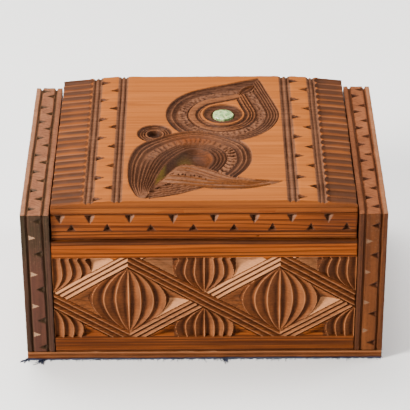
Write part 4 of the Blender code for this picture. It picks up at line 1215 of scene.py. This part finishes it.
class Nodes:
    """Short ways to add and join shader nodes."""

    def __init__(self, name):
        self.material = bpy.data.materials.new(name)
        self.material.use_nodes = True
        self.tree = self.material.node_tree
        self.shader = self.tree.nodes["Principled BSDF"]
        self.place = self.add("ShaderNodeTexCoord").outputs["Object"]

    def add(self, kind, **settings):
        node = self.tree.nodes.new(kind)
        for key, value in settings.items():
            setattr(node, key, value)
        return node

    def link(self, source, target):
        self.tree.links.new(source, target)

    def set(self, node, **values):
        for key, value in values.items():
            socket = node.inputs[key.replace("_", " ")]
            if isinstance(value, bpy.types.NodeSocket):
                self.link(value, socket)
            else:
                socket.default_value = value
        return node

    def noise(self, scale, detail, roughness, distortion=0.0):
        """Noise stretched by a scale in each direction, in cells per metre."""
        mapping = self.add("ShaderNodeMapping")
        self.set(mapping, Vector=self.place, Scale=scale)
        texture = self.add("ShaderNodeTexNoise")
        self.set(
            texture, Vector=mapping.outputs[0], Scale=1.0, Detail=detail, Roughness=roughness,
            Distortion=distortion,
        )
        return texture.outputs["Fac"]

    def growth_rings(self, axis, spacing, bend):
        """How far across its growth ring each place is, 0 to 1, for grain along one axis."""
        split = self.add("ShaderNodeSeparateXYZ")
        self.link(self.place, split.inputs[0])
        first, second = [split.outputs[i] for i in range(3) if i != axis]
        first = self.math("MULTIPLY", first, 0.5 / spacing)
        second = self.math("MULTIPLY", second, 0.87 / spacing)
        return self.math("FRACT", self.math("ADD", self.math("ADD", first, second), bend))

    def ramp(self, factor, *stops):
        node = self.add("ShaderNodeValToRGB")
        elements = node.color_ramp.elements
        while len(elements) < len(stops):
            elements.new(0.5)
        for element, (position, colour) in zip(elements, stops):
            element.position = position
            if isinstance(colour, (int, float)):
                colour = (colour, colour, colour)
            element.color = (*colour, 1)
        self.link(factor, node.inputs[0])
        return node.outputs[0]

    def mix(self, factor, a, b):
        node = self.add("ShaderNodeMix", data_type="RGBA")
        for socket, value in ((node.inputs[0], factor), (node.inputs[6], a), (node.inputs[7], b)):
            if isinstance(value, bpy.types.NodeSocket):
                self.link(value, socket)
            elif isinstance(value, tuple):
                socket.default_value = (*value, 1)
            else:
                socket.default_value = value
        return node.outputs[2]

    def math(self, operation, a, b=0.0, clamp=False):
        node = self.add("ShaderNodeMath", operation=operation, use_clamp=clamp)
        for socket, value in zip(node.inputs, (a, b)):
            if isinstance(value, bpy.types.NodeSocket):
                self.link(value, socket)
            else:
                socket.default_value = value
        return node.outputs[0]

    def attribute(self, name):
        return self.add("ShaderNodeAttribute", attribute_name=name).outputs["Fac"]

    def bump(self, height, strength, distance):
        node = self.add("ShaderNodeBump")
        self.set(node, Height=height, Strength=strength, Distance=distance)
        self.link(node.outputs[0], self.shader.inputs["Normal"])


def grain_scale(axis, along, across):
    return tuple(along if i == axis else across for i in range(3))


def grain_streaks(n, axis, rings, clear):
    """Dark lines of late growth along the grain, 0 to 1."""
    bands = n.noise(grain_scale(axis, 2.0, 210), 2, 0.5, 0.1)
    bend = n.math("MULTIPLY", n.noise(grain_scale(axis, 3.5, 70), 2, 0.5), 6.0)
    growth = n.growth_rings(axis, RING_SPACING, bend)
    late = n.ramp(growth, (0.0, 0.3), (0.08, 0.0), (0.5, 0.15), (0.78, 1.0), (0.93, 1.0), (1.0, 0.3))
    streak = n.math("MULTIPLY", late, n.ramp(bands, (0.38, 1.0), (0.62, 0.3)))
    streak = n.math("MAXIMUM", streak, n.ramp(rings, (0.38, 0.8), (0.46, 0.0)))
    return n.math("MULTIPLY", streak, clear)


def varnished_colour(n, axis, surface, edge, lines, streak, hair):
    """The colour of uncut wood, from the main face's to the fronts' as tone rises."""
    broad = n.noise(grain_scale(axis, 5, 55), 3, 0.55, 0.5)
    tones = []
    for (pale, mid, dark), strength in zip((surface, edge), lines):
        colour = n.ramp(broad, (0.32, pale), (0.52, mid), (0.74, pale))
        colour = n.mix(n.math("MULTIPLY", streak, strength), colour, dark)
        tones.append(n.mix(n.math("MULTIPLY", hair, 0.35 * strength), colour, dark))
    return n.mix(n.attribute("tone"), *tones)


def cut_colour(n, colour, cut_wood, streak, grain):
    """Bare wood with painted highlights, dirt with painted shade, the painted shade of deep cuts and
    residue, laid over a colour in turn.
    """
    pale_wood, dirt_and_shade_pale, dirt_and_shade_dark = cut_wood
    cloudy = n.noise((70, 70, 70), 4, 0.6)
    raw_tone = n.ramp(grain, (0.3, tuple(c * 0.75 for c in pale_wood)), (0.65, pale_wood))
    # The pale wood colour also paints highlights and the dirt colour also paints shade, each as much as
    # its layer says.
    colour = n.mix(n.attribute("raw"), colour, raw_tone)
    dirt_and_shading = n.ramp(grain, (0.3, dirt_and_shade_dark), (0.7, dirt_and_shade_pale))
    clouds = n.math("ADD", n.math("MULTIPLY", cloudy, 0.7), 0.65)
    amount = n.math("MULTIPLY", n.attribute("stain"), clouds, clamp=True)
    colour = n.mix(amount, colour, dirt_and_shading)
    lines_in_stain_and_shade = n.math("MULTIPLY", n.math("MULTIPLY", streak, n.attribute("stain")), 0.5)
    colour = n.mix(lines_in_stain_and_shade, colour, dirt_and_shade_dark)
    # Painted shade, darker the deeper the cut.
    deep = n.ramp(n.math("MULTIPLY", n.attribute("cut"), 0.25), (0.3, 0.0), (1.0, 0.5))
    colour = n.mix(deep, colour, tuple(c * 0.4 for c in dirt_and_shade_dark))
    moss = n.math("MULTIPLY", n.attribute("moss"), n.ramp(cloudy, (0.35, 0.3), (0.6, 1.0)))
    return n.mix(moss, colour, RESIDUE_COLOUR)


def wood(name, axis, surface, edge, cut_wood, lines, rough, gloss):
    """Varnished wood with its grain along one axis.

    surface and edge are pale, middle and dark colours of the main face and of the fronts, and
    cut_wood is bare wood, also used for painted highlights, and pale and dark dirt, also used for
    painted shade. lines is how strong the grain is on both.
    """
    n = Nodes(name)
    rings = n.noise(grain_scale(axis, 2.2, 560), 3, 0.55, 0.2)
    fine = n.noise(grain_scale(axis, 30, 1900), 3, 0.6)
    pores = n.noise(grain_scale(axis, 90, 2600), 2, 0.5)
    clear = n.math("SUBTRACT", 1.0, n.attribute("calm"))
    streak = grain_streaks(n, axis, rings, clear)
    hair = n.math("MULTIPLY", n.ramp(fine, (0.4, 1.0), (0.55, 0.0)), clear)
    grain = n.math("ADD", n.math("MULTIPLY", n.math("SUBTRACT", fine, 0.5), clear), 0.5)
    colour = varnished_colour(n, axis, surface, edge, lines, streak, hair)
    colour = cut_colour(n, colour, cut_wood, streak, grain)
    n.link(colour, n.shader.inputs["Base Color"])
    n.link(n.ramp(pores, (0.3, rough + 0.14), (0.7, rough - 0.04)), n.shader.inputs["Roughness"])
    n.shader.inputs["Specular IOR Level"].default_value = gloss
    height = n.math("ADD", n.math("MULTIPLY", rings, 0.5), n.math("MULTIPLY", fine, 0.5))
    n.bump(height, 0.35, 0.0002)
    return n.material


def felt_material():
    n = Nodes("navy_felt")
    fuzz = n.noise((2500, 2500, 2500), 3, 0.7)
    patch = n.noise((120, 120, 120), 3, 0.6)
    colour = n.ramp(fuzz, (0.3, (0.006, 0.009, 0.024)), (0.7, (0.028, 0.042, 0.11)))
    colour = n.mix(n.ramp(patch, (0.4, 0.0), (0.7, 0.4)), colour, (0.05, 0.055, 0.075))
    n.link(colour, n.shader.inputs["Base Color"])
    n.link(n.ramp(fuzz, (0.2, 0.98), (0.8, 0.88)), n.shader.inputs["Roughness"])
    n.shader.inputs["Sheen Weight"].default_value = 0.15
    n.bump(fuzz, 0.6, 0.0003)
    return n.material


def shell_material():
    n = Nodes("green_shell")
    waves = n.noise((260, 180, 100), 5, 0.62, 1.6)
    veins = n.noise((420, 300, 100), 4, 0.6, 2.2)
    colour = n.ramp(
        waves, (0.3, (0.12, 0.14, 0.03)), (0.43, (0.22, 0.38, 0.14)), (0.55, (0.38, 0.5, 0.2)),
        (0.7, (0.6, 0.48, 0.24)),
    )
    colour = n.mix(n.ramp(veins, (0.38, 0.8), (0.47, 0.0)), colour, (0.07, 0.08, 0.02))
    n.link(colour, n.shader.inputs["Base Color"])
    n.link(n.ramp(waves, (0.3, 0.12), (0.7, 0.26)), n.shader.inputs["Roughness"])
    n.shader.inputs["Coat Weight"].default_value = 0.6
    n.shader.inputs["Coat Roughness"].default_value = 0.08
    n.bump(waves, 0.25, 0.0002)
    return n.material


def floor_material():
    n = Nodes("pale_floor")
    cloud = n.noise((9, 9, 9), 3, 0.5)
    colour = n.ramp(cloud, (0.3, (0.84, 0.838, 0.83)), (0.7, (0.86, 0.858, 0.85)))
    n.link(colour, n.shader.inputs["Base Color"])
    n.link(n.ramp(cloud, (0.3, 0.62), (0.7, 0.7)), n.shader.inputs["Roughness"])
    return n.material


# Floor, light and camera


def build_floor():
    """A plain round floor, wider than any view."""
    build = bmesh.new()
    bmesh.ops.create_circle(build, cap_ends=True, radius=3.5, segments=96)
    floor = add_object("floor", build)
    floor.data.materials.append(floor_material())


def add_light(name, place, size, power, colour=(1, 1, 1)):
    light = bpy.data.lights.new(name, "AREA")
    light.shape = "RECTANGLE"
    light.size, light.size_y = size
    light.energy = power
    light.color = colour
    obj = bpy.data.objects.new(name, light)
    bpy.context.scene.collection.objects.link(obj)
    obj.location = place
    obj.rotation_euler = (Vector(LIGHT_TARGET) - Vector(place)).to_track_quat("-Z", "Y").to_euler()


def light_scene():
    """A soft key from the left, softer light from above and the right, and a pale sky."""
    add_light("key", (-1.16, -0.6, 0.74), (0.3, 0.4), 56, (1.0, 0.97, 0.92))
    add_light("overhead", (-0.3, 0.5, 1.4), (0.8, 0.8), 34, (1.0, 0.985, 0.96))
    add_light("right", (1.1, 0.3, 0.9), (0.6, 0.8), 14, (1.0, 0.98, 0.96))
    world = bpy.data.worlds.new("studio")
    world.use_nodes = True
    tree = world.node_tree
    shade = tree.nodes["Background"]
    place = tree.nodes.new("ShaderNodeTexCoord")
    split = tree.nodes.new("ShaderNodeSeparateXYZ")
    ramp = tree.nodes.new("ShaderNodeValToRGB")
    ramp.color_ramp.elements[0].position = 0.35
    ramp.color_ramp.elements[0].color = (0.26, 0.265, 0.27, 1)
    ramp.color_ramp.elements[1].position = 0.95
    ramp.color_ramp.elements[1].color = (1.0, 1.0, 1.0, 1)
    tree.links.new(place.outputs["Generated"], split.inputs[0])
    tree.links.new(split.outputs["Z"], ramp.inputs[0])
    tree.links.new(ramp.outputs[0], shade.inputs["Color"])
    shade.inputs["Strength"].default_value = 0.9
    bpy.context.scene.world = world


def place_camera():
    """The camera, turned by its pitch, yaw and roll."""
    data = bpy.data.cameras.new("camera")
    data.sensor_width = CAMERA_SENSOR
    data.lens = CAMERA_LENS
    data.clip_start, data.clip_end = 0.05, 20
    camera = bpy.data.objects.new("camera", data)
    bpy.context.scene.collection.objects.link(camera)
    cos_pitch, sin_pitch = math.cos(CAMERA_PITCH), math.sin(CAMERA_PITCH)
    sin_yaw, cos_yaw = math.sin(CAMERA_YAW), math.cos(CAMERA_YAW)
    forward = Vector((sin_yaw * cos_pitch, cos_yaw * cos_pitch, -sin_pitch))
    right = Vector((cos_yaw, -sin_yaw, 0))
    up = right.cross(forward)
    turned_right = math.cos(CAMERA_ROLL) * right + math.sin(CAMERA_ROLL) * up
    turned_up = -math.sin(CAMERA_ROLL) * right + math.cos(CAMERA_ROLL) * up
    turn = Matrix((turned_right, turned_up, -forward)).transposed().to_4x4()
    camera.matrix_world = Matrix.Translation(Vector(CAMERA_PLACE) * MM) @ turn
    bpy.context.scene.camera = camera


def build_scene():
    lid_wood = wood(
        "lid_wood_fine", 0,
        ((0.33, 0.098, 0.018), (0.26, 0.074, 0.013), (0.12, 0.028, 0.005)),
        ((0.265, 0.064, 0.008), (0.175, 0.038, 0.005), (0.034, 0.007, 0.002)),
        ((0.30, 0.152, 0.092), (0.086, 0.033, 0.016), (0.020, 0.0065, 0.0025)),
        (0.35, 0.9), 0.45, 0.05,
    )
    panel_wood = wood(
        "panel_wood_fine", 0,
        ((0.34, 0.082, 0.007), (0.235, 0.05, 0.005), (0.038, 0.008, 0.0015)),
        ((0.34, 0.082, 0.007), (0.235, 0.05, 0.005), (0.038, 0.008, 0.0015)),
        ((0.46, 0.195, 0.082), (0.105, 0.032, 0.010), (0.022, 0.006, 0.002)),
        (0.95, 0.95), 0.45, 0.05,
    )
    left_wood = wood(
        "left_end_wood", 2,
        ((0.225, 0.088, 0.04), (0.17, 0.063, 0.029), (0.055, 0.019, 0.01)),
        ((0.08, 0.028, 0.016), (0.06, 0.022, 0.014), (0.022, 0.009, 0.007)),
        ((0.52, 0.30, 0.17), (0.046, 0.027, 0.012), (0.015, 0.009, 0.004)),
        (0.6, 0.5), 0.5, 0.08,
    )
    right_wood = wood(
        "right_end_wood", 2,
        ((0.22, 0.072, 0.026), (0.16, 0.05, 0.017), (0.05, 0.014, 0.005)),
        ((0.15, 0.044, 0.010), (0.11, 0.031, 0.007), (0.04, 0.011, 0.004)),
        ((0.50, 0.30, 0.17), (0.06, 0.019, 0.008), (0.022, 0.007, 0.003)),
        (0.5, 0.5), 0.48, 0.08,
    )
    build_lid(lid_wood)
    build_panel("front_carving", "front_panel", -1, True, panel_wood)
    build_panel("back_carving", "back_panel", 1, False, panel_wood)
    build_end("left_end_carving", "left_end_board", -1, left_wood)
    build_end("right_end_carving", "right_end_board", 1, right_wood)
    build_base(panel_wood)
    build_felt(felt_material())
    build_shell(shell_material())
    build_floor()
    light_scene()
    place_camera()


build_scene()
